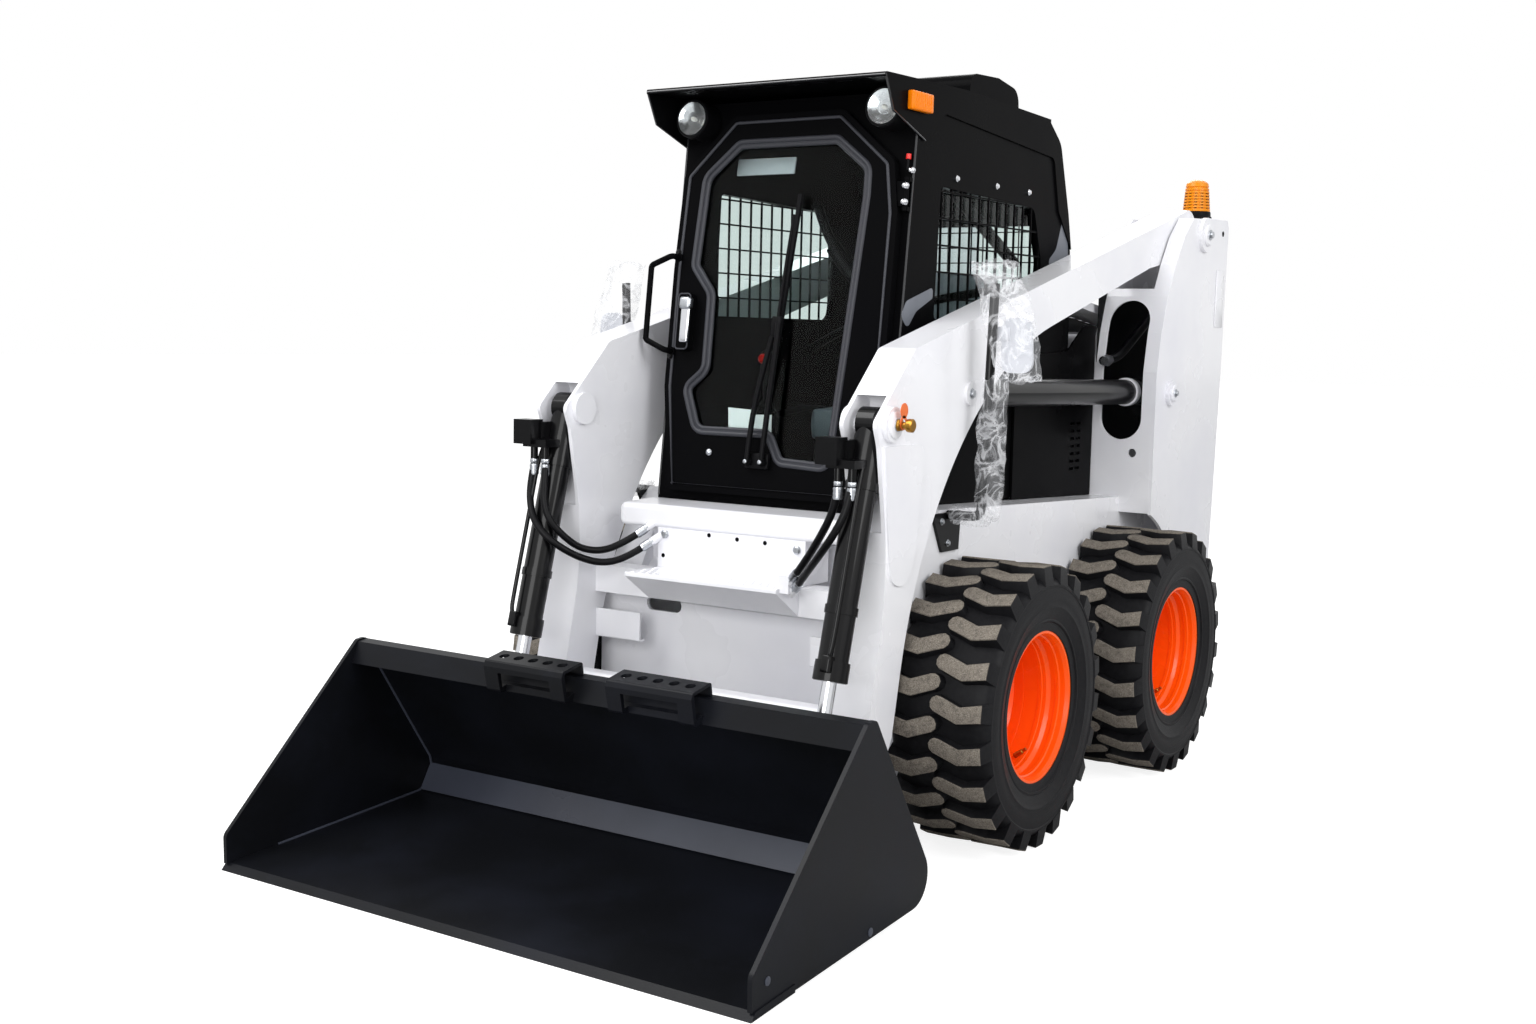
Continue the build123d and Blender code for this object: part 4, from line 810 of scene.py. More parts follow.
# ---------------------------------------------------------------- hoses
# x, station, height in metres of each hose's route, from its port to the crossmember
HOSE_ROUTES = {
    "hose_left_inner": [
        (0.4885, -0.610, 1.056), (0.478, -0.608, 0.999), (0.446, -0.600, 0.942), (0.400, -0.580, 0.884),
        (0.350, -0.553, 0.831), (0.304, -0.526, 0.789),
    ],
    "hose_left_outer": [
        (0.5305, -0.610, 1.056), (0.526, -0.622, 1.005), (0.508, -0.634, 0.955), (0.473, -0.630, 0.905),
        (0.425, -0.605, 0.858), (0.366, -0.563, 0.809), (0.309, -0.519, 0.762),
    ],
    "hose_right_outer": [
        (-0.5545, -0.610, 1.056), (-0.563, -0.616, 1.000), (-0.548, -0.636, 0.945), (-0.517, -0.655, 0.893),
        (-0.471, -0.651, 0.847), (-0.433, -0.615, 0.809), (-0.404, -0.565, 0.780), (-0.359, -0.519, 0.766),
        (-0.313, -0.469, 0.784), (-0.272, -0.421, 0.824),
    ],
    "hose_right_inner": [
        (-0.5125, -0.610, 1.056), (-0.504, -0.621, 1.004), (-0.494, -0.638, 0.949), (-0.475, -0.634, 0.893),
        (-0.444, -0.602, 0.844), (-0.420, -0.557, 0.808), (-0.380, -0.505, 0.799), (-0.338, -0.453, 0.824),
        (-0.298, -0.411, 0.862),
    ],
}


class LOADER_OT_hoses(bpy.types.Operator):
    """Four tilt hoses from the cylinders' ports to the crossmember"""

    bl_idname = "loader.hoses"
    bl_label = "Tilt hoses"

    def execute(self, context):
        diameter = context.scene.loader_sizes.hose_diameter
        for node, rows in HOSE_ROUTES.items():
            line = smooth_line(places(*rows), diameter / 2)
            line.name = node + "_rubber"
            line.data.materials.append(FINISH["hose"])
            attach(line, "lift_arms")
            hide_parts(node)
        return {"FINISHED"}


# ---------------------------------------------------------------- tyres and wheels
SIDES = {"left": 1, "right": -1}
AXLES = {"front": FRONT_AXLE, "rear": REAR_AXLE}
# distance from the tyre's middle plane, distance from the axle, from the bead over the shoulder to the crown
CASING = [
    (0.1306, 0.2178), (0.1322, 0.2178), (0.1338, 0.2196), (0.1345, 0.2300), (0.1352, 0.2420), (0.1398, 0.2450),
    (0.1402, 0.2490), (0.1388, 0.2520), (0.1462, 0.2740), (0.1492, 0.2860), (0.1504, 0.2880), (0.1504, 0.2915),
    (0.1496, 0.2935), (0.1513, 0.3080), (0.1514, 0.3240), (0.1500, 0.3380), (0.1496, 0.3440), (0.1512, 0.3462),
    (0.1512, 0.3512), (0.1490, 0.3545), (0.1420, 0.3630), (0.1300, 0.3690), (0.1000, 0.3745), (0.0500, 0.3790),
]
# distance of a lug's root and top from the axle
LUG_BASE = 0.350
LUG_TOP = 0.4062


def lug(axle):
    """One dog-leg lug on top of the tyre: its root outline drawn up and drawn in, with broken edges."""
    # the lug's rounded inner end: its middle and radius
    tip, tip_radius = Vector((0.004, 0.006)), 0.0265
    rows = [Vector((0.1520, 0.0215)), Vector((0.080, 0.0055))]
    for k in range(6):
        turn = radians(63 + 36 * k)
        rows.append(tip + Vector((cos(turn), sin(turn))) * tip_radius)
    rows += [Vector((0.073, -0.0480)), Vector((0.1520, -0.0345))]
    plate([axle + Vector((x, along, LUG_BASE)) for x, along in rows], (0, 0, LUG_TOP - LUG_BASE))
    chosen(lambda co: co.z > axle.z + LUG_TOP - 0.001)
    bpy.ops.transform.resize(value=(0.885, 0.86, 1), center_override=axle + Vector((0.070, -0.010, LUG_TOP)))
    bpy.ops.mesh.bevel(offset=0.0028, segments=2, affect="EDGES")
    return tidy()


class LOADER_OT_tyres(bpy.types.Operator):
    """Tyres: turned casings with sidewall rings, and bevelled dog-leg lugs from both shoulders"""

    bl_idname = "loader.tyres"
    bl_label = "Tyres"

    def execute(self, context):
        count = context.scene.loader_sizes.lugs
        axle = FRONT_AXLE
        near = lug(Vector((0, axle.y, axle.z)))
        far = set_by(mirrored(near), turn_about(axle, "X", pi / count))
        lugs = [near, far]
        for i in range(1, count):
            lugs += [turned_copy(row, axle, "X", 2 * pi * i / count) for row in (near, far)]
        casing = turned(CASING + [(-x, r) for x, r in reversed(CASING)] + CASING[:1], (0, axle.y, axle.z), steps=88)
        pattern = joined([casing] + lugs)
        for end, at in AXLES.items():
            for side, sign in SIDES.items():
                node = f"tyre_{end}_{side}"
                piece = duplicate(pattern) if sign > 0 else mirrored(pattern)
                piece.location = (sign * at.x, at.y - axle.y, at.z - axle.z)
                fitted(applied(piece), node + "_moulding", f"wheel_{end}_{side}", "tyre_" + end, 32)
                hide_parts(node)
        removed(pattern)
        return {"FINISHED"}


class LOADER_OT_wheels(bpy.types.Operator):
    """Wheel furniture: barrel ridges, nuts on the disc, hub cap and valve guard"""

    bl_idname = "loader.wheels"
    bl_label = "Wheels"

    def execute(self, context):
        sizes = context.scene.loader_sizes
        for end, at in AXLES.items():
            ridges = []
            # ridges rolled in the barrel: the outermost lies on the wider seat
            for x, outer in ((0.096, 0.2055), (0.046, 0.196), (-0.012, 0.196)):
                inner = outer - 0.0055
                row = [
                    (x - 0.008, outer), (x - 0.005, inner), (x + 0.005, inner), (x + 0.008, outer),
                    (x - 0.008, outer),
                ]
                ridges.append(turned(row, at, steps=64))
            guard = slab(at + Vector((0.030, -0.019, -0.198)), at + Vector((0.078, 0.019, -0.160)), 0.004)
            chosen(lambda co: co.z > at.z - 0.165)
            bpy.ops.transform.resize(value=(0.55, 0.7, 1), center_override=at + Vector((0.040, 0, -0.16)))
            tidy()
            ridges.append(turned_copy(guard, at, "X", radians(-24)))
            removed(guard)
            row = [(0, 0), (0, 0.008), (0.030, 0.007), (0.032, 0.005), (0.044, 0.005), (0.044, 0)]
            stem = turned(row, at + Vector((0.030, 0.062, -0.170)), (0.8, 0, 0.6), 16)
            row = [(0, 0), (0, 0.050), (0.010, 0.049), (0.018, 0.040), (0.020, 0.0)]
            cap = turned(row, at + Vector((-0.0285, 0, 0)), steps=40)
            nuts = []
            for i in range(sizes.wheel_nuts):
                turn = 2 * pi * (i + 0.5) / sizes.wheel_nuts
                stud = at + Vector((0, sizes.stud_circle * sin(turn), sizes.stud_circle * cos(turn)))
                nuts.append(bolt(stud + Vector((-0.058, 0, 0)), (1, 0, 0), 0.025, 0.018))
                end_of_stud = [(0, 0), (0, 0.007), (0.012, 0.007), (0.014, 0.005), (0.014, 0)]
                nuts.append(turned(end_of_stud, stud + Vector((-0.041, 0, 0)), steps=12))
            groups = {
                "ridges": (joined(ridges), "orange", "orange_paint"), "nuts": (joined(nuts), "zinc", "chrome_rod"),
                "cap": (cap, "orange", "orange_paint"), "valve": (stem, "brass", "chrome_rod"),
            }
            for label, (piece, coat, slot) in groups.items():
                twin = mirrored(piece)
                fitted(piece, f"wheel_{label}_{end}_left", f"wheel_{end}_left", coat)
                fitted(twin, f"wheel_{label}_{end}_right", f"wheel_{end}_right", coat)
        return {"FINISHED"}


# ---------------------------------------------------------------- cab door
# across, up the front face, corner radius
DOOR_EDGE = [
    (-0.348, 0.027, 0.02), (-0.390, 0.341, 0.06), (-0.390, 0.700, 0.09), (-0.377, 0.995, 0.04), (-0.208, 1.164, 0.04),
    (0.174, 1.165, 0.04), (0.354, 1.012, 0.04), (0.378, 0.861, 0.04), (0.378, 0.027, 0.02),
]
DOOR_WINDOW = [
    (-0.304, 0.985, 0.06), (-0.184, 1.088, 0.04), (0.165, 1.088, 0.04), (0.281, 0.997, 0.05), (0.283, 0.913, 0.03),
    (0.227, 0.115, 0.04), (0.043, 0.124, 0.04), (-0.001, 0.205, 0.03), (-0.265, 0.204, 0.05), (-0.319, 0.343, 0.04),
    (-0.251, 0.401, 0.04), (-0.253, 0.626, 0.04), (-0.322, 0.710, 0.04),
]
# distance of the door's outer face off the cab's front, and the wiper's two pivots
DOOR_FACE = 0.033
WIPER_PIVOTS = (-0.043, 0.008)
WIPER_UP = 0.128


def set_off(points, distance):
    """Closed outline moved sideways by a distance, outward where it is positive for a clockwise outline."""
    moved = []
    for i, point in enumerate(points):
        run = (points[(i + 1) % len(points)] - points[i - 1]).normalized()
        moved.append(point + Vector((-run.y, run.x)) * distance)
    return moved


def ring_on_door(rows, shift, radius, out):
    """Rubber bead round an outline on the door."""
    return bead([on_front(a, b, out) for a, b in set_off(rounded(rows, 6), shift)], radius)


class LOADER_OT_door(bpy.types.Operator):
    """Door furniture: gaskets, latch, wiper, bolts and the blank card behind the glass"""

    bl_idname = "loader.door"
    bl_label = "Cab door"

    def execute(self, context):
        out = off_front()
        seals = [
            ring_on_door(DOOR_EDGE, -0.022, 0.0048, DOOR_FACE + 0.001),
            ring_on_door(DOOR_WINDOW, -0.003, 0.0078, DOOR_FACE - 0.001),
            ring_on_door(DOOR_WINDOW, -0.017, 0.0068, DOOR_FACE - 0.006),
            ring_on_door(DOOR_WINDOW, -0.012, 0.0090, 0.0240),
        ]
        fitted(seals, "door_gaskets", "cab_door", "gasket", 60)
        # latch: chrome lever with a hooded top in its black plate
        lever = slab((-0.0155, 0, -0.060), (0.0155, 0.016, 0.052), 0.005, 3)
        hood = slab((-0.020, -0.004, 0.040), (0.020, 0.024, 0.078), 0.009, 3)
        for piece in (lever, hood):
            settle_on_front(piece, -0.305, 0.535, DOOR_FACE + 0.027)
        fitted(lever, "latch_lever", "cab_door", "chrome")
        fitted(hood, "latch_hood", "cab_door", "zinc")
        outline = rounded([(-0.343, 0.456, 0.01), (-0.343, 0.624, 0.01), (-0.299, 0.624, 0.01), (-0.299, 0.456, 0.01)])
        rim = bead([on_front(x, up, DOOR_FACE + 0.0262) for x, up in outline], 0.0025)
        fitted(rim, "latch_rim", "cab_door", "gasket", 60)
        # wiper: motor cover, two arms, carrier and blade
        cover = slab((-0.042, 0, -0.024), (0.042, 0.018, 0.024), 0.006, 2)
        settle_on_front(cover, -0.018, 0.132, DOOR_FACE)
        stub = [(0, 0), (0, 0.013), (0.012, 0.012), (0.020, 0.007), (0.020, 0)]
        pivots = [turned(stub, on_front(x, WIPER_UP, DOOR_FACE + 0.016), out, 20) for x in WIPER_PIVOTS]
        arms = [
            ((-0.043, WIPER_UP, 0.062), (-0.042, 0.22, 0.060), (-0.026, 0.36, 0.056), (0.004, 0.50, 0.052)),
            ((0.008, WIPER_UP, 0.062), (0.012, 0.26, 0.060), (0.022, 0.44, 0.056), (0.022, 0.54, 0.052)),
        ]
        arms = [tube(all_on_front(*rows), 0.0085) for rows in arms]
        arms.append(tube(all_on_front((0.016, 0.52, 0.052), (0.024, 0.68, 0.048), (0.040, 0.86, 0.044)), 0.0048))
        carrier = slab((-0.016, 0, -0.030), (0.016, 0.012, 0.030), 0.003)
        settle_on_front(carrier, 0.014, 0.53, 0.043)
        outline = [(0.006, 0.44), (0.018, 0.44), (0.062, 0.92), (0.050, 0.92)]
        blade = plate([on_front(x, up, 0.034) for x, up in outline], out * 0.012)
        fitted([cover, carrier, blade] + pivots + arms, "door_wiper", "cab_door", "moulded")
        dome = [(0, 0), (0, 0.0065), (0.005, 0.006), (0.007, 0.0)]
        nuts = [turned(dome, on_front(x, WIPER_UP, 0.069), out, 12) for x in WIPER_PIVOTS]
        # cap bolts low on the leaf
        heads = [(-0.201, 0.149), (0.33, 0.075)]
        cap = [(0, 0), (0, 0.0105), (0.004, 0.0105), (0.009, 0.006), (0.0105, 0)]
        nuts += [turned(cap, on_front(x, up, DOOR_FACE), out, 18) for x, up in heads]
        fitted(nuts, "door_cap_bolts", "cab_door", "zinc")
        outline = [(-0.150, 0.212), (-0.158, 0.288), (-0.070, 0.284), (-0.062, 0.270), (0.000, 0.272), (0.004, 0.214)]
        card = plate([on_front(x, up, 0.0125) for x, up in outline], out * 0.001)
        fitted(card, "window_card", "cab_door", "label")
        clamps = [bolt(on_front(-0.372, up, DOOR_FACE + 0.008), out, 0.013, 0.006) for up in (0.435, 0.753)]
        fitted(clamps, "grab_bar_bolts", "cab_door", "cylinder")
        return {"FINISHED"}


def settle_on_front(piece, x, up, out):
    """Moves a piece modelled about the origin, with +Y outward and +Z up, onto the cab's leaning face."""
    facing = Matrix(((1, 0, 0), off_front(), up_front())).transposed().to_4x4()
    set_by(piece, Matrix.Translation(on_front(x, up, out)) @ facing)
    bpy.ops.object.mode_set(mode="EDIT")
    return tidy()


# ---------------------------------------------------------------- cab interior
def cushion(low, high, crown):
    """Stuffed pad: a block whose top crowns and whose sides draw in between its corners, with two sewn channels."""
    low, high = Vector(low), Vector(high)
    mid, half = (low + high) / 2, (high - low) / 2
    pad = divided(slab(low, high), 9)
    for vertex in pad.data.vertices:
        u, v, w = ((vertex.co[i] - mid[i]) / half[i] for i in range(3))
        # u, v, w run from -1 to 1 across the block; the sewn channels lie at 0.52 of its half width
        swell = (1 - u * u) * (1 - v * v)
        channel = 0.012 * max(0.0, 1 - abs(abs(u) - 0.52) / 0.12) * (1 if w > 0.2 else 0)
        vertex.co.z += (crown * swell - channel) * (1 if w > 0 else 0.2) * abs(w)
        vertex.co.x -= u * 0.020 * v * v * (1 - 0.5 * w * w) + u * 0.014 * w * w
        vertex.co.y -= v * 0.018 * u * u * (1 - 0.5 * w * w) + v * 0.014 * w * w
    modifier = pad.modifiers.new("round", "SUBSURF")
    modifier.levels = modifier.render_levels = 1
    bpy.ops.object.modifier_apply(modifier="round")
    return pad


class LOADER_OT_interior(bpy.types.Operator):
    """Cab interior: seat, lap bar, lever grips, overhead mirror and rear screen bars"""

    bl_idname = "loader.interior"
    bl_label = "Cab interior"

    def execute(self, context):
        pedestal = slab(place(-0.190, 0.345, 0.9655), place(0.190, 0.80, 1.105), 0.02, 3)
        seat_pad = cushion(place(-0.228, 0.335, 1.105), place(0.228, 0.745, 1.205), 0.026)
        lean_back = Matrix.Translation(place(0, 0.775, 1.445)) @ Matrix.Rotation(radians(78), 4, "X")
        back = set_by(cushion((-0.225, -0.225, -0.05), (0.225, 0.225, 0.05), 0.024), lean_back)
        shell = set_by(slab((-0.20, -0.225, -0.078), (0.20, 0.225, -0.052), 0.010), lean_back)
        fitted(pedestal, "seat_pedestal", "chassis", "moulded")
        fitted(shell, "seat_back_shell", "chassis", "moulded")
        for piece, name in ((seat_pad, "seat_cushion"), (back, "seat_backrest")):
            fitted(piece, name, "chassis", "vinyl", 60)
            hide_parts("seat")
        # lap bar folded up in front of the seat
        route = places(
            (0.33, 0.62, 1.42), (0.325, 0.30, 1.45), (0.27, 0.06, 1.50), (0.16, 0.02, 1.60), (0.05, 0.02, 1.74),
            (0.0, 0.05, 1.83),
        )
        bar = tube(route, 0.015)
        sleeve = tube(places((0.245, 0.045, 1.527), (0.16, 0.02, 1.60), (0.075, 0.017, 1.71)), 0.024)
        route = places((-0.33, 0.55, 1.40), (-0.12, 0.50, 1.50), (0.20, 0.52, 1.58), (0.33, 0.60, 1.60))
        brace = tube(route, 0.014)
        fitted([bar, sleeve, brace], "lap_bar", "chassis", "moulded")
        route = places(
            (0.345, 0.215, 1.905), (0.345, 0.30, 1.868), (0.345, 0.46, 1.798), (0.345, 0.62, 1.727),
            (0.345, 0.70, 1.692),
        )
        strut = tube(route, 0.019)
        fitted(strut, "side_strut", "chassis", "moulded")
        for side, sign in SIDES.items():
            foot = place(sign * 0.30, 0.235, 1.175)
            folds = [(0.006 + 0.008 * k, 0.041 - 0.0045 * k + (0.004 if k % 2 else 0)) for k in range(7)]
            bellows = turned([(0, 0), (0, 0.045)] + folds + [(0.062, 0)], foot, (0, 0, 1), 24)
            profile = [(0, 0), (0, 0.016), (0.02, 0.023), (0.05, 0.020), (0.085, 0.024), (0.105, 0.020), (0.112, 0)]
            grip = turned(profile, foot + Vector((0, 0, 0.108)), (0, 0, 1), 20)
            fitted([bellows, grip], "lever_grip_" + side, "chassis", "moulded")
            profile = [(0, 0), (0, 0.016), (0.010, 0.016), (0.017, 0.011), (0.019, 0)]
            knob = turned(profile, foot + Vector((0, -0.019, 0.190)), (0, -1, 0.3), 16)
            fitted(knob, "lever_button_" + side, "chassis", "red")
        profile = [(0, 0), (0, 0.030), (0.006, 0.034), (0.16, 0.034), (0.185, 0.020), (0.20, 0.010), (0.20, 0)]
        extinguisher = turned(profile, place(-0.02, 0.88, 1.14), (0, 0, 1), 24)
        fitted(extinguisher, "red_canister", "chassis", "red")
        glass = slab((-0.105, -0.004, -0.026), (0.105, 0.004, 0.026), 0.003)
        set_by(glass, Matrix.Translation(place(-0.147, -0.02, 1.953)) @ Matrix.Rotation(radians(-12), 4, "X"))
        fitted(glass, "overhead_mirror", "chassis", "mirror_back")
        # bar screen over the rear window, inside the glass
        bars = [
            slab(place(-0.300, 0.988, z), place(0.300, 0.992, z + 0.004))
            for z in (1.55 + 0.052 * k for k in range(6))
        ]
        bars += [
            slab(place(x - 0.002, 0.984, 1.50), place(x + 0.002, 0.988, 1.83))
            for x in (-0.27 + 0.045 * k for k in range(13))
        ]
        fitted(bars, "rear_bar_screen", "chassis", "powder")
        return {"FINISHED"}


# ---------------------------------------------------------------- lamps and beacon
class LOADER_OT_lamps(bpy.types.Operator):
    """Work lamps with fluted bowls, side markers, tail lamps and the beacon"""

    bl_idname = "loader.lights"
    bl_label = "Lamps and beacon"

    def execute(self, context):
        out = off_front()
        for side, sign in SIDES.items():
            centre = on_front(sign * 0.332, 1.152, 0.070)
            profile = [
                (-0.012, 0.0552), (-0.012, 0.0585), (0.011, 0.0585), (0.015, 0.0555), (0.014, 0.0505),
                (0.002, 0.0495), (0.002, 0.0552), (-0.012, 0.0552),
            ]
            bezel = turned(profile, centre, out)
            fitted(bezel, "lamp_bezel_" + side, "chassis", "moulded")
            profile = [
                (0.0125, 0.0500), (0.0075, 0.038), (0.0035, 0.022), (0.0012, 0.0), (0.0006, 0.0), (0.0006, 0.0500),
                (0.0125, 0.0500),
            ]
            bowl = turned(profile, centre, out, 28)
            fitted(bowl, "lamp_bowl_" + side, "chassis", "reflector", 5)
            profile = [(0.001, 0.0), (0.001, 0.0065), (0.007, 0.0068), (0.0115, 0.004), (0.0125, 0)]
            bulb = turned(profile, centre, out, 16)
            fitted(bulb, "lamp_bulb_" + side, "chassis", "bulb")
            profile = [
                (0.0128, 0.0), (0.0128, 0.0498), (0.0150, 0.0498), (0.0172, 0.036), (0.0184, 0.018), (0.0188, 0.0),
            ]
            lens = turned(profile, centre, out)
            fitted(lens, "lamp_lens_" + side, "chassis", "clear_lens")
            marker = slab(place(0.4092, -0.156, 2.0785), place(0.4296, -0.034, 2.1315), 0.005, 3)
            ribs = [
                slab(place(0.4280, s, 2.084), place(0.4306, s + 0.004, 2.126), 0.0008, 1)
                for s in (-0.148 + 0.012 * k for k in range(9))
            ]
            marker = joined([marker] + ribs)
            tail = slab(place(0.483, 1.9315, 1.006), place(0.587, 1.9385, 1.094), 0.0025, 2)
            low_lens = slab(place(0.487, 1.9380, 1.010), place(0.583, 1.9410, 1.046), 0.0012, 1)
            if sign < 0:
                marker, tail, low_lens = (taken(piece) for piece in (marker, tail, low_lens))
            fitted(marker, "marker_" + side, "chassis", "amber")
            fitted(tail, "tail_lens_" + side, "chassis", "red_lens")
            fitted(low_lens, "turn_lens_" + side, "chassis", "amber")
        foot = place(0.540, 1.858, 1.9045)
        profile = [(0, 0), (0, 0.057), (0.009, 0.057), (0.013, 0.053), (0.027, 0.0525), (0.030, 0.050), (0.030, 0)]
        base = turned(profile, foot, (0, 0, 1))
        # the dome's rings: their pitch, and how much each is smaller than the one below
        pitch, drawn_in = 0.0108, 0.0009
        rows = [(0.0302, 0.0), (0.0302, 0.0495)]
        for k in range(8):
            taper, up = 0.0500 - drawn_in * k, pitch * k
            rows += [
                (0.033 + up, taper), (0.0395 + up, taper), (0.0410 + up, taper - 0.0042),
                (0.0430 + up, taper - 0.0042),
            ]
        rows += [(0.122, 0.0425), (0.134, 0.0395), (0.142, 0.030), (0.1468, 0.016), (0.1478, 0.0)]
        dome = turned(rows, foot, (0, 0, 1), 56)
        profile = [(0.030, 0), (0.030, 0.024), (0.10, 0.022), (0.115, 0.012), (0.118, 0)]
        core = turned(profile, foot, (0, 0, 1), 24)
        bars = []
        for k in range(6):
            inward, up = drawn_in * k, pitch * k
            for step in range(12):
                bar = slab((0.0445 - inward, -0.0045, 0.0412 + up), (0.0478 - inward, 0.0045, 0.0442 + up))
                bars.append(set_by(bar, Matrix.Translation(foot) @ Matrix.Rotation(radians(30 * step + 15), 4, "Z")))
        fitted(bars, "beacon_bars", "chassis", "moulded")
        fitted(base, "beacon_base", "chassis", "moulded")
        fitted(dome, "beacon_dome", "chassis", "amber_dome")
        fitted(core, "beacon_rotor", "chassis", "reflector")
        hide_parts("beacon")
        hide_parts("beacon")
        return {"FINISHED"}


# ---------------------------------------------------------------- mirrors in their film
def gathered(piece, pull, lean):
    """Draws a bag in towards its ends, more at its lower one, slackens its corners and lets it hang aside."""
    points = [vertex.co for vertex in piece.data.vertices]
    low = Vector([min(point[i] for point in points) for i in range(3)])
    high = Vector([max(point[i] for point in points) for i in range(3)])
    mid, half = (low + high) / 2, (high - low) / 2
    for vertex in piece.data.vertices:
        u, v, w = ((vertex.co[i] - mid[i]) / half[i] for i in range(3))
        draw = pull * (max(0.0, -w) ** 2 + 0.45 * max(0.0, w) ** 3)
        vertex.co.x = mid.x + u * half.x * (1 - draw) * (1 - 0.10 * v * v * abs(u)) + lean * w
        vertex.co.y = mid.y + v * half.y * (1 - draw) * (1 - 0.30 * u * u)
        vertex.co.z = mid.z + w * half.z * (1 - 0.07 * u * u - 0.05 * sin(5 * u + 3 * v))


def crumpled(piece, depth, cell, seed):
    """Presses folds into a fine mesh with two layers of cloud noise."""
    only(piece)
    for k, (size, share) in enumerate(((cell, 1.0), (cell * 0.35, 0.45))):
        clouds = bpy.data.textures.new(f"folds_{seed}_{k}", "CLOUDS")
        clouds.noise_scale = size
        clouds.noise_depth = 1
        modifier = piece.modifiers.new("folds", "DISPLACE")
        modifier.texture = clouds
        modifier.texture_coords = "GLOBAL"
        modifier.strength = depth * share
        modifier.mid_level = 0.5
        bpy.ops.object.modifier_apply(modifier="folds")
    return piece


class LOADER_OT_mirrors(bpy.types.Operator):
    """Mirrors on their posts, each still in its film bag, with film round the foot"""

    bl_idname = "loader.mirrors"
    bl_label = "Mirrors"

    def execute(self, context):
        outline = side_view(
            0.5205,
            ((-0.092, 0.836), (-0.150, 0.940), (-0.138, 0.948), (-0.060, 0.949), (0.019, 0.949), (0.009, 0.836)),
        )
        bracket = plate(outline, (0.009, 0, 0))
        route = places(
            (0.527, -0.060, 0.942), (0.58, -0.060, 0.942), (0.630, -0.060, 0.944), (0.634, -0.060, 0.99),
            (0.641, -0.060, 1.20), (0.653, -0.060, 1.60),
        )
        post = tube(route, 0.0135)
        outline = front_view(
            -0.050, rounded([(0.672, 1.352, 0.03), (0.770, 1.352, 0.03), (0.762, 1.505, 0.03), (0.672, 1.505, 0.03)]),
        )
        head = plate(outline, (0, 0.010, 0))
        clamp = slab(place(0.636, -0.052, 1.44), place(0.700, -0.045, 1.48), 0.003)
        outline = front_view(
            -0.0402,
            rounded([(0.677, 1.357, 0.027), (0.765, 1.357, 0.027), (0.757, 1.500, 0.027), (0.677, 1.500, 0.027)]),
        )
        glass = plate(outline, (0, 0.0017, 0))
        bolts = [
            bolt(place(0.5295, s, z), (1, 0, 0), 0.013, 0.007)
            for s, z in ((-0.10, 0.925), (-0.02, 0.925), (-0.06, 0.86))
        ]
        bag = slab(place(0.622, -0.0895, 1.325), place(0.772, -0.030, 1.662))
        foot = slab(place(0.532, -0.088, 0.915), place(0.665, -0.034, 0.972))
        sleeve = slab(place(0.616, -0.086, 0.935), place(0.700, -0.036, 1.345))
        for piece, cuts, pull, lean in ((bag, 30, 0.14, -0.045), (foot, 16, 0.12, 0.0), (sleeve, 18, 0.10, 0.008)):
            gathered(divided(piece, cuts), pull, lean)
        film_piece = crumpled(joined([bag, foot, sleeve]), 0.026, 0.115, 4)
        sets = [
            (joined([bracket, post]), "mirror_post", "black_plastic", "cylinder"),
            (joined([head, clamp]), "mirror_head", "black_plastic", "mirror_back"),
            (glass, "mirror_glass", "chrome_rod", "chrome"),
            (joined(bolts), "mirror_bolts", "chrome_rod", "zinc"),
            (film_piece, "mirror_film", "glass", "film"),
        ]
        for piece, name, slot, coat in sets:
            twin = mirrored(piece)
            for obj, side in ((piece, "left"), (twin, "right")):
                fitted(obj, f"{name}_{side}", "chassis", coat, 60 if coat == "film" else 35)
                if name in ("mirror_post", "mirror_head"):
                    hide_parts("mirrors")
        return {"FINISHED"}


# ---------------------------------------------------------------- arms, towers and cylinders
def pin_ends(pins, depth, sign):
    """Stepped round caps on pins' ends and their hexagon bolts. pins: distance out, pin, radius."""
    caps, heads = [], []
    for x, pin, radius in pins:
        centre = place(sign * x, *pin)
        steps = [(0, 0), (0, radius), (depth * 0.6, radius), (depth, radius * 0.86), (depth, 0)]
        caps.append(turned(steps, centre, (sign, 0, 0), 40))
        heads.append(bolt(centre + Vector((sign * depth, 0, 0)), (sign, 0, 0), radius * 0.6, radius * 0.28))
    return caps, heads


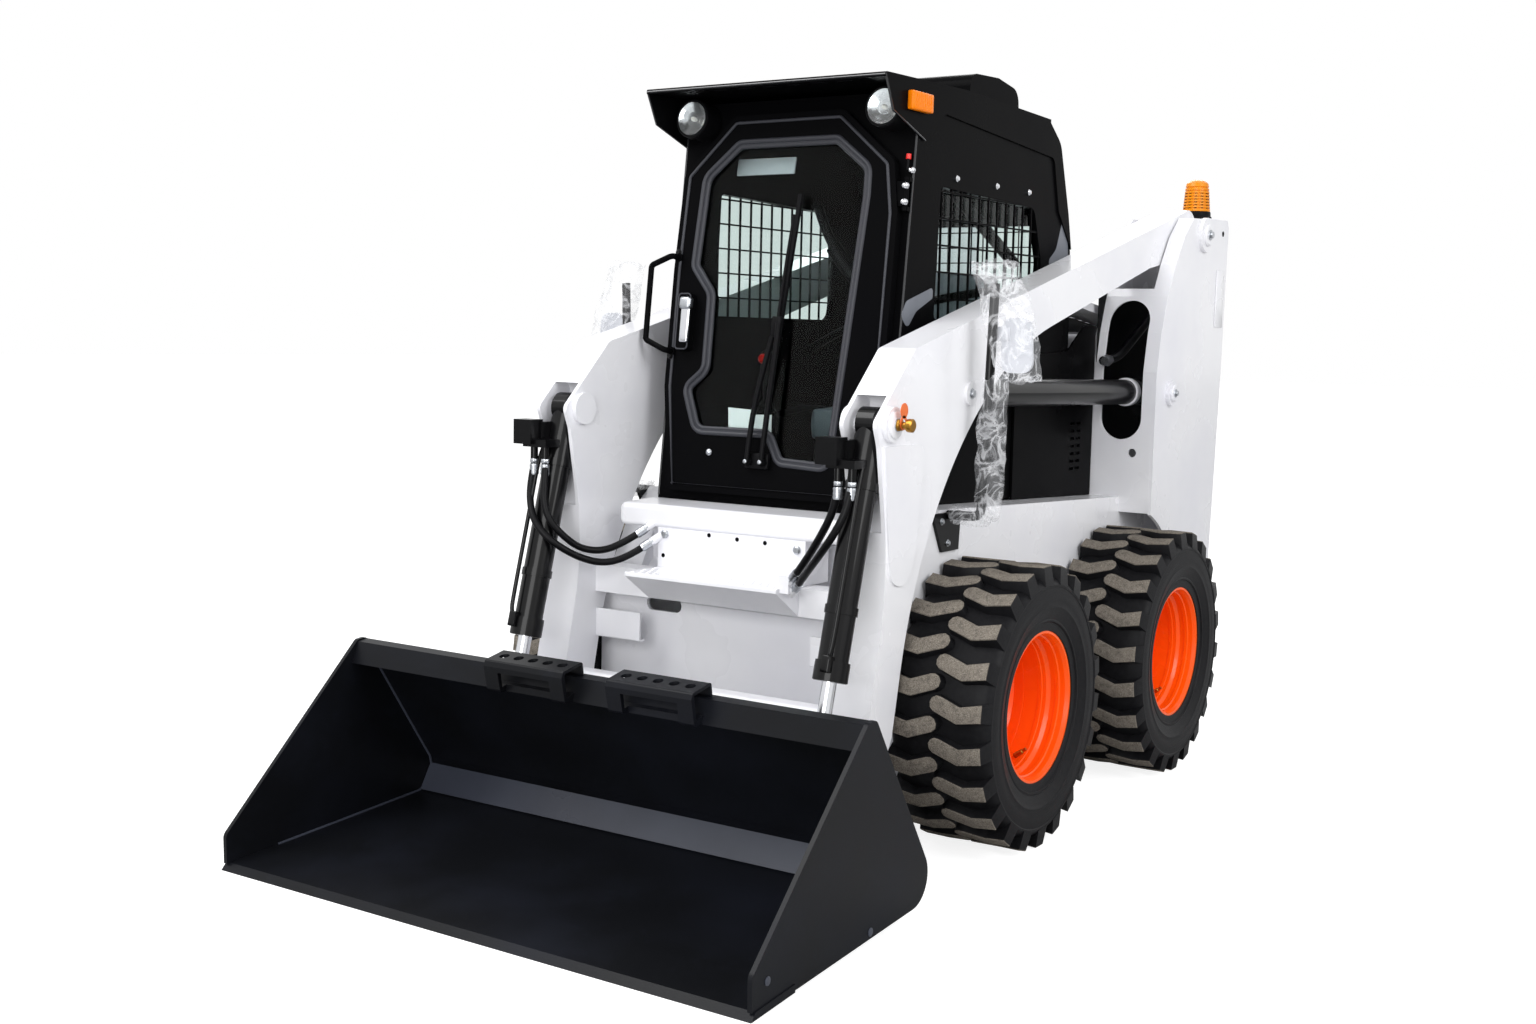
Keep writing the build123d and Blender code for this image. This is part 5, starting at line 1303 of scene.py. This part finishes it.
class LOADER_OT_pins(bpy.types.Operator):
    """Pin caps on arms and towers, the lock pin with its tag, plates and bores, and a dark sheet, partly painted
    shade, inside each tower
    """

    bl_idname = "loader.pins"
    bl_label = "Pins and plates"

    def execute(self, context):
        for side, sign in SIDES.items():
            boss = TOWER_OUTER + 0.0138
            caps, heads = pin_ends([(boss, ARM_PIVOT, 0.040), (boss, LIFT_BASE_PIN, 0.030)], 0.010, sign)
            # black sheet over the tower's white inner plate, behind its slot: partly the black side screen seen
            # through the slot, partly painted shade
            dark_sheet = slab(place(sign * 0.4122, 1.262, 1.09), place(sign * 0.4142, 1.86, 1.62), 0.0005, 1)
            fitted(dark_sheet, "tower_liner_" + side, "chassis", "powder")
            # raised plate on the tower's outer face
            low, high = place(sign * TOWER_OUTER, 1.820, 1.505), place(sign * (TOWER_OUTER + 0.006), 1.898, 1.715)
            caps.append(slab(low, high, 0.002))
            fitted(caps, "tower_caps_" + side, "chassis", "enamel")
            fitted(heads, "tower_cap_bolts_" + side, "chassis", "zinc")
            row = [(0, 0), (0, 0.010), (0.0012, 0.010), (0.0012, 0)]
            bore = turned(row, place(sign * (TOWER_OUTER - 0.0002), 1.877, 1.852), (sign, 0, 0), 24)
            fitted(bore, "tower_bore_" + side, "chassis", "hole")
            arm_pins = [(ARM_OUTER + 0.0135, TILT_BASE_PIN, 0.036), (ARM_OUTER - 0.0002, LIFT_ROD_PIN, 0.034)]
            caps, heads = pin_ends(arm_pins, 0.008, sign)
            fitted(caps, "arm_caps_" + side, "lift_arms", "enamel")
            fitted(heads, "arm_cap_bolts_" + side, "lift_arms", "zinc")
        # lock pin in the left arm's outer boss, its tag behind it
        at = place(ARM_OUTER + 0.0218, *TILT_BASE_PIN)
        profile = [
            (0, 0), (0, 0.013), (0.012, 0.013), (0.013, 0.009), (0.028, 0.009), (0.029, 0.0165), (0.034, 0.018),
            (0.044, 0.018), (0.047, 0.014), (0.047, 0),
        ]
        pin = turned(profile, at, (1, 0, 0), 32)
        collar = bolt(at, (1, 0, 0), 0.030, 0.011, washer=False)
        fitted([pin, collar], "lock_pin", "lift_arms", "brass")
        profile = [(0.014, 0.010), (0.014, 0.019), (0.0155, 0.019), (0.0155, 0.010), (0.014, 0.010)]
        ring = turned(profile, at + Vector((0, 0.004, 0.006)), (1, 0, 0), 32)
        profile = [(0.014, 0.0), (0.014, 0.020), (0.0155, 0.020), (0.0155, 0.0)]
        leaf = turned(profile, at + Vector((0, 0.006, 0.038)), (1, 0, 0), 32)
        fitted([ring, leaf], "lock_pin_tag", "lift_arms", "tag")
        return {"FINISHED"}


def beside(base, rod, reach, off=0.0, x=ARM_MIDDLE):
    """A point by a cylinder: distance from base pin towards rod pin, distance in front of that line, and x."""
    line = Vector((0, rod[0] - base[0], rod[1] - base[1])).normalized()
    return place(x, *base) + line * reach + Vector((0, line.z, -line.y)) * off


def along_tilt(reach, off=0.0, x=ARM_MIDDLE):
    """A point by the tilt cylinder."""
    return beside(TILT_BASE_PIN, TILT_ROD_PIN, reach, off, x)


def along_lift(reach):
    """A point on the lift cylinder's line."""
    return beside(LIFT_BASE_PIN, LIFT_ROD_PIN, reach)


# a hose's crimped ferrule: distance along the hose, radius
CRIMP = [
    (-0.002, 0.0), (-0.002, 0.0128), (0.004, 0.0138), (0.009, 0.0128), (0.014, 0.0138), (0.019, 0.0128),
    (0.024, 0.0138), (0.030, 0.0125), (0.032, 0.0),
]


class LOADER_OT_hydraulics(bpy.types.Operator):
    """Glands, clamp bands and tubes on the cylinders, and crimped fittings on the hoses"""

    bl_idname = "loader.hydraulics"
    bl_label = "Hydraulics"

    def execute(self, context):
        for side, sign in SIDES.items():
            line = along_tilt(1) - along_tilt(0)
            profile = [
                (-0.052, 0.0415), (-0.052, 0.0465), (-0.012, 0.0465), (-0.010, 0.0440), (0.0015, 0.0440),
                (0.0015, 0.021), (-0.052, 0.0415),
            ]
            gland = turned(profile, along_tilt(0.686), line, 40)
            profile = [(-0.011, 0.041), (-0.011, 0.0445), (0.011, 0.0445), (0.011, 0.041), (-0.011, 0.041)]
            bands = [turned(profile, along_tilt(reach), line, 40) for reach in (0.17, 0.50)]
            route = [
                (0.120, 0.045, 0.020), (0.150, 0.058, 0.024), (0.32, 0.056, 0.024), (0.58, 0.056, 0.024),
                (0.625, 0.058, 0.020), (0.642, 0.046, 0.016),
            ]
            pipe = tube([along_tilt(reach, off, ARM_MIDDLE + x) for reach, off, x in route], 0.0062)
            blocks = slab((-0.016, -0.012, -0.022), (0.016, 0.012, 0.022), 0.003)
            facing = line.to_track_quat("Z", "X").to_matrix().to_4x4()
            set_by(blocks, Matrix.Translation(along_tilt(0.645, 0.046, ARM_MIDDLE + 0.012)) @ facing)
            dark = joined([gland, pipe, blocks] + bands)
            lift_line = along_lift(1) - along_lift(0)
            profile = [
                (-0.050, 0.0435), (-0.050, 0.0480), (-0.006, 0.0480), (-0.004, 0.0455), (0.0015, 0.0455),
                (0.0015, 0.025), (-0.050, 0.0435),
            ]
            end = turned(profile, along_lift(1.240), lift_line, 44)
            profile = [
                (-0.016, 0.0435), (-0.016, 0.0490), (-0.006, 0.0500), (0.006, 0.0500), (0.016, 0.0490),
                (0.016, 0.0435), (-0.016, 0.0435),
            ]
            band = turned(profile, along_lift(0.105), lift_line, 40)
            route = [(1.215, 1.378), (1.30, 1.383), (1.38, 1.402), (1.50, 1.462), (1.62, 1.520), (1.70, 1.560)]
            supply = tube(side_view(0.458, route), 0.016)
            profile = [(-0.022, 0), (-0.022, 0.0175), (-0.008, 0.0205), (0.008, 0.0205), (0.022, 0.0175), (0.022, 0)]
            union = turned(profile, place(0.466, 1.232, 1.3795), (0, 1, 0.12), 6)
            if sign < 0:
                dark, end, band, supply, union = (taken(piece) for piece in (dark, end, band, supply, union))
            fitted(dark, "tilt_gland_" + side, "tilt_barrel_" + side, "cylinder")
            fitted(end, "lift_gland_" + side, "lift_barrel_" + side, "cylinder")
            fitted(band, "lift_band_" + side, "lift_barrel_" + side, "enamel")
            fitted(supply, "supply_pipe_" + side, "chassis", "cylinder")
            fitted(union, "supply_union_" + side, "chassis", "zinc")
        # crimped ferrules and hexagons on both ends of every hose
        for node, rows in HOSE_ROUTES.items():
            points = places(*rows)
            barrel = "tilt_barrel_left" if "left" in node else "tilt_barrel_right"
            first_way, last_way = Vector((0, 0, -1)), (points[-2] - points[-1]).normalized()
            for end, body, tip, way, start in (
                ("port", barrel, points[0], first_way, 0.004),
                ("block", "lift_arms", points[-1], last_way, -0.004),
            ):
                crimp = turned(CRIMP, tip + way * start, way, 20)
                hexagon = bolt(tip - way * 0.014, way, 0.023, 0.013, washer=False)
                fitted([crimp, hexagon], f"{node}_{end}_crimp", body, "zinc")
        return {"FINISHED"}


class LOADER_OT_front(bpy.types.Operator):
    """Bolts, bores and tread on the crossmember and the front sheet"""

    bl_idname = "loader.front"
    bl_label = "Front fittings"

    def execute(self, context):
        forward = (0, -1, 0)
        profile = [(0, 0), (0, 0.0125), (0.004, 0.0125), (0.008, 0.008), (0.0085, 0)]
        heads = [turned(profile, place(x, -0.395, z), forward, 20) for x, z in ((-0.232, 0.853), (0.231, 0.845))]
        fitted(heads, "cover_bolts", "lift_arms", "zinc")
        profile = [(0, 0), (0, 0.0065), (0.0010, 0.0065), (0.0010, 0)]
        holes = [
            turned(profile, place(x, -0.3945, z), forward, 16)
            for x, z in ((-0.238, 0.789), (-0.073, 0.862), (0.026, 0.858), (0.122, 0.856))
        ]
        fitted(holes, "cover_bores", "lift_arms", "hole")
        # tread: rows of small raised pips on the step
        pips = []
        for row in range(5):
            for column in range(20):
                x = -0.245 + 0.0255 * column + (0.0127 if row % 2 else 0)
                pips.append((x, 0.027 * row - 0.530))
        profile = [(0, 0.0), (0, 0.0062), (0.0022, 0.0042), (0.0026, 0.0)]
        first = turned(profile, place(pips[0][0], pips[0][1], 0.7538), (0, 0, 1), 10)
        rest = [copied(first, (x - pips[0][0], s - pips[0][1], 0)) for x, s in pips[1:]]
        fitted([first] + rest, "step_tread", "lift_arms", "enamel")
        return {"FINISHED"}


class LOADER_OT_cab_trim(bpy.types.Operator):
    """Acorn nuts, cap bolts, edge beads as painted highlights, gas strut end and stripes on the cab"""

    bl_idname = "loader.cab_trim"
    bl_label = "Cab trim"

    def execute(self, context):
        out = off_front()
        acorn = [(0, 0), (0, 0.0105), (0.006, 0.0105), (0.011, 0.009), (0.015, 0.005), (0.016, 0)]
        # the hinge's two nuts swing with the door
        nuts = [turned(acorn, on_front(0.397, up, 0.029), out, 18) for up in (0.890, 0.936)]
        fitted(nuts, "door_hinge_nuts", "cab_door", "chrome")
        nuts = [turned(acorn, on_front(0.397, 0.985, 0.0), out, 18)]
        cap = [(0, 0), (0, 0.010), (0.004, 0.010), (0.009, 0.006), (0.010, 0)]
        for sign in SIDES.values():
            nuts += [turned(cap, place(sign * CAB_SIDE, s, 1.915), (sign, 0, 0), 16) for s in (0.166, 0.435, 0.669)]
        fitted(nuts, "cab_cap_nuts", "chassis", "chrome")
        # thin beads of lighter black along the cab's front corners, roof cheeks and visor: painted highlights of its
        # edges
        edges = [
            bead(all_on_front((sign * 0.4015, 0.01, 0.0), (sign * 0.4015, 1.13, 0.0)), 0.0035, closed=False)
            for sign in SIDES.values()
        ]
        edges += [
            bead(
                places(
                    (sign * 0.4085, -0.279, 2.160), (sign * 0.4085, -0.232, 2.068), (sign * 0.4085, -0.042, 2.004),
                ),
                0.0028, closed=False,
            )
            for sign in SIDES.values()
        ]
        edges += [bead(places((-0.408, -0.2795, 2.1585), (0.408, -0.2795, 2.1585)), 0.0028, closed=False)]
        fitted(edges, "cab_edge_beads", "chassis", "highlight_black")
        rod = tube(all_on_front((0.388, 1.028, 0.012), (0.388, 1.015, 0.012), (0.388, 0.985, 0.012)), 0.004)
        profile = [(0, 0), (0, 0.0075), (0.014, 0.0075), (0.014, 0)]
        tip = turned(profile, on_front(0.388, 1.016, 0.012), up_front(), 16)
        fitted(rod, "door_strut", "chassis", "moulded")
        fitted(tip, "door_strut_end", "chassis", "red")
        for side, sign in SIDES.items():
            low = rounded([
                (-0.150, 1.505, 0.02), (-0.120, 1.548, 0.03), (0.038, 1.592, 0.01), (0.038, 1.560, 0.01),
                (-0.060, 1.520, 0.04), (-0.110, 1.470, 0.02),
            ])
            high = rounded([
                (0.815, 1.690, 0.02), (0.900, 1.745, 0.05), (0.955, 1.870, 0.005), (0.992, 1.790, 0.01),
                (1.000, 1.720, 0.02), (0.900, 1.672, 0.06),
            ])
            x = sign * (CAB_SIDE - 0.0002)
            stripes = [plate(side_view(x, shape), (sign * 0.0011, 0, 0)) for shape in (low, high)]
            fitted(stripes, "cab_stripes_" + side, "chassis", "stripe")
        return {"FINISHED"}


class LOADER_OT_rear(bpy.types.Operator):
    """Dark screens behind the slots, latch and hinge bolts at the rear"""

    bl_idname = "loader.rear"
    bl_label = "Rear fittings"

    def execute(self, context):
        back = (0, 1, 0)
        screen = slab(place(-0.292, 1.8915, 0.785), place(0.292, 1.8955, 1.305), 0.0008, 1)
        ribs = [
            slab(place(x - 0.0012, 1.8945, 0.79), place(x + 0.0012, 1.8975, 1.30))
            for x in (-0.28 + 0.014 * k for k in range(41))
        ]
        fitted([screen] + ribs, "radiator_screen", "rear_door", "powder")
        outline = places(
            (-0.272, 1.235, 1.5408), (0.272, 1.235, 1.5408), (0.272, 1.765, 1.4806), (-0.272, 1.765, 1.4806),
        )
        lid = plate(outline, (0, 0, -0.002))
        fitted(lid, "hood_screen", "engine_hood", "powder")
        bowl = slab(place(-0.352, 1.9485, 0.985), place(-0.312, 1.9545, 1.115), 0.002, 2)
        lever = slab(place(-0.340, 1.9530, 1.000), place(-0.324, 1.9590, 1.085), 0.0022, 2)
        fitted(bowl, "rear_latch_bowl", "rear_door", "moulded")
        fitted(lever, "rear_latch_lever", "rear_door", "chrome")
        heads = [
            bolt(place(x, 1.9500, z), back, 0.012, 0.005)
            for x in (0.342, 0.365)
            for z in (0.937, 0.963, 1.317, 1.343)
        ]
        fitted(heads, "rear_door_bolts", "rear_door", "zinc")
        return {"FINISHED"}


class LOADER_OT_bucket(bpy.types.Operator):
    """Weld beads inside the bucket, the corner strip across its back and bolts on its cheeks, in a lighter paint that
    is a painted highlight
    """

    bl_idname = "loader.bucket"
    bl_label = "Bucket fittings"

    def execute(self, context):
        # weld beads at the cheeks' inner corners, in the lighter paint of painted highlight
        welds = []
        for sign in SIDES.values():
            run = side_view(
                sign * CHEEK_INNER,
                (
                    (-1.335, 0.0300), (-1.10, 0.0450), (-0.805, 0.0645), (-0.778, 0.071), (-0.757, 0.088),
                    (-0.7485, 0.108), (-0.748, 0.130), (-0.756, 0.163), (-0.85, 0.303), (-0.958, 0.465),
                ),
            )
            welds.append(bead(run, 0.0042, closed=False))
        fitted(welds, "bucket_welds", "bucket", "bucket_highlight")
        # flat facet across the bend between bottom and back, in the lighter paint: partly a real facet, partly the
        # bend's painted highlight
        outline = side_view(-0.834, ((-0.792, 0.0665), (-0.750, 0.139), (-0.7535, 0.141), (-0.7955, 0.0685)))
        strip = plate(outline, (1.668, 0, 0))
        fitted(strip, "bucket_corner_strip", "bucket", "bucket_highlight")
        # plugs on the cheeks, in the lighter paint of painted highlight
        heads = []
        profile = [(0, 0), (0, 0.0105), (0.002, 0.0105), (0.0028, 0.008), (0.0028, 0)]
        for sign in SIDES.values():
            for s, z in ((-1.449, 0.072), (-1.010, 0.052)):
                heads.append(turned(profile, place(sign * CHEEK_OUTER, s, z), (sign, 0, 0), 20))
        fitted(heads, "bucket_cheek_plugs", "bucket", "bucket_highlight")
        return {"FINISHED"}


# ---------------------------------------------------------------- panel and running
STEPS = [
    "stage", "coats", "hoses", "tyres", "wheels", "door", "interior", "lights", "mirrors", "pins", "hydraulics",
    "front", "cab_trim", "rear", "bucket",
]


class LOADER_PT_panel(bpy.types.Panel):
    """Lists the machine's pieces in the order they are made"""

    bl_idname = "LOADER_PT_panel"
    bl_label = "Skid steer loader"
    bl_space_type = "VIEW_3D"
    bl_region_type = "UI"
    bl_category = "Loader"

    def draw(self, context):
        for group in (context.scene.loader_look, context.scene.loader_sizes, context.scene.loader_studio):
            for key in group.__annotations__:
                self.layout.prop(group, key)
        for step in STEPS:
            self.layout.operator("loader." + step)


CLASSES = [
    LoaderLook, LoaderSizes, StudioSizes, LOADER_OT_stage, LOADER_OT_coats, LOADER_OT_hoses, LOADER_OT_tyres,
    LOADER_OT_wheels, LOADER_OT_door, LOADER_OT_interior, LOADER_OT_lamps, LOADER_OT_mirrors, LOADER_OT_pins,
    LOADER_OT_hydraulics, LOADER_OT_front, LOADER_OT_cab_trim, LOADER_OT_rear, LOADER_OT_bucket, LOADER_PT_panel,
]


def register():
    """Makes the classes and their settings known to Blender."""
    for cls in CLASSES:
        bpy.utils.register_class(cls)
    bpy.types.Scene.loader_look = PointerProperty(type=LoaderLook)
    bpy.types.Scene.loader_sizes = PointerProperty(type=LoaderSizes)
    bpy.types.Scene.loader_studio = PointerProperty(type=StudioSizes)


def unregister():
    """Takes the settings and the classes away again."""
    del bpy.types.Scene.loader_look, bpy.types.Scene.loader_sizes, bpy.types.Scene.loader_studio
    for cls in reversed(CLASSES):
        bpy.utils.unregister_class(cls)


def main():
    """Runs every step in order."""
    register()
    for step in STEPS:
        getattr(bpy.ops.loader, step)()


if __name__ == "__main__":
    main()
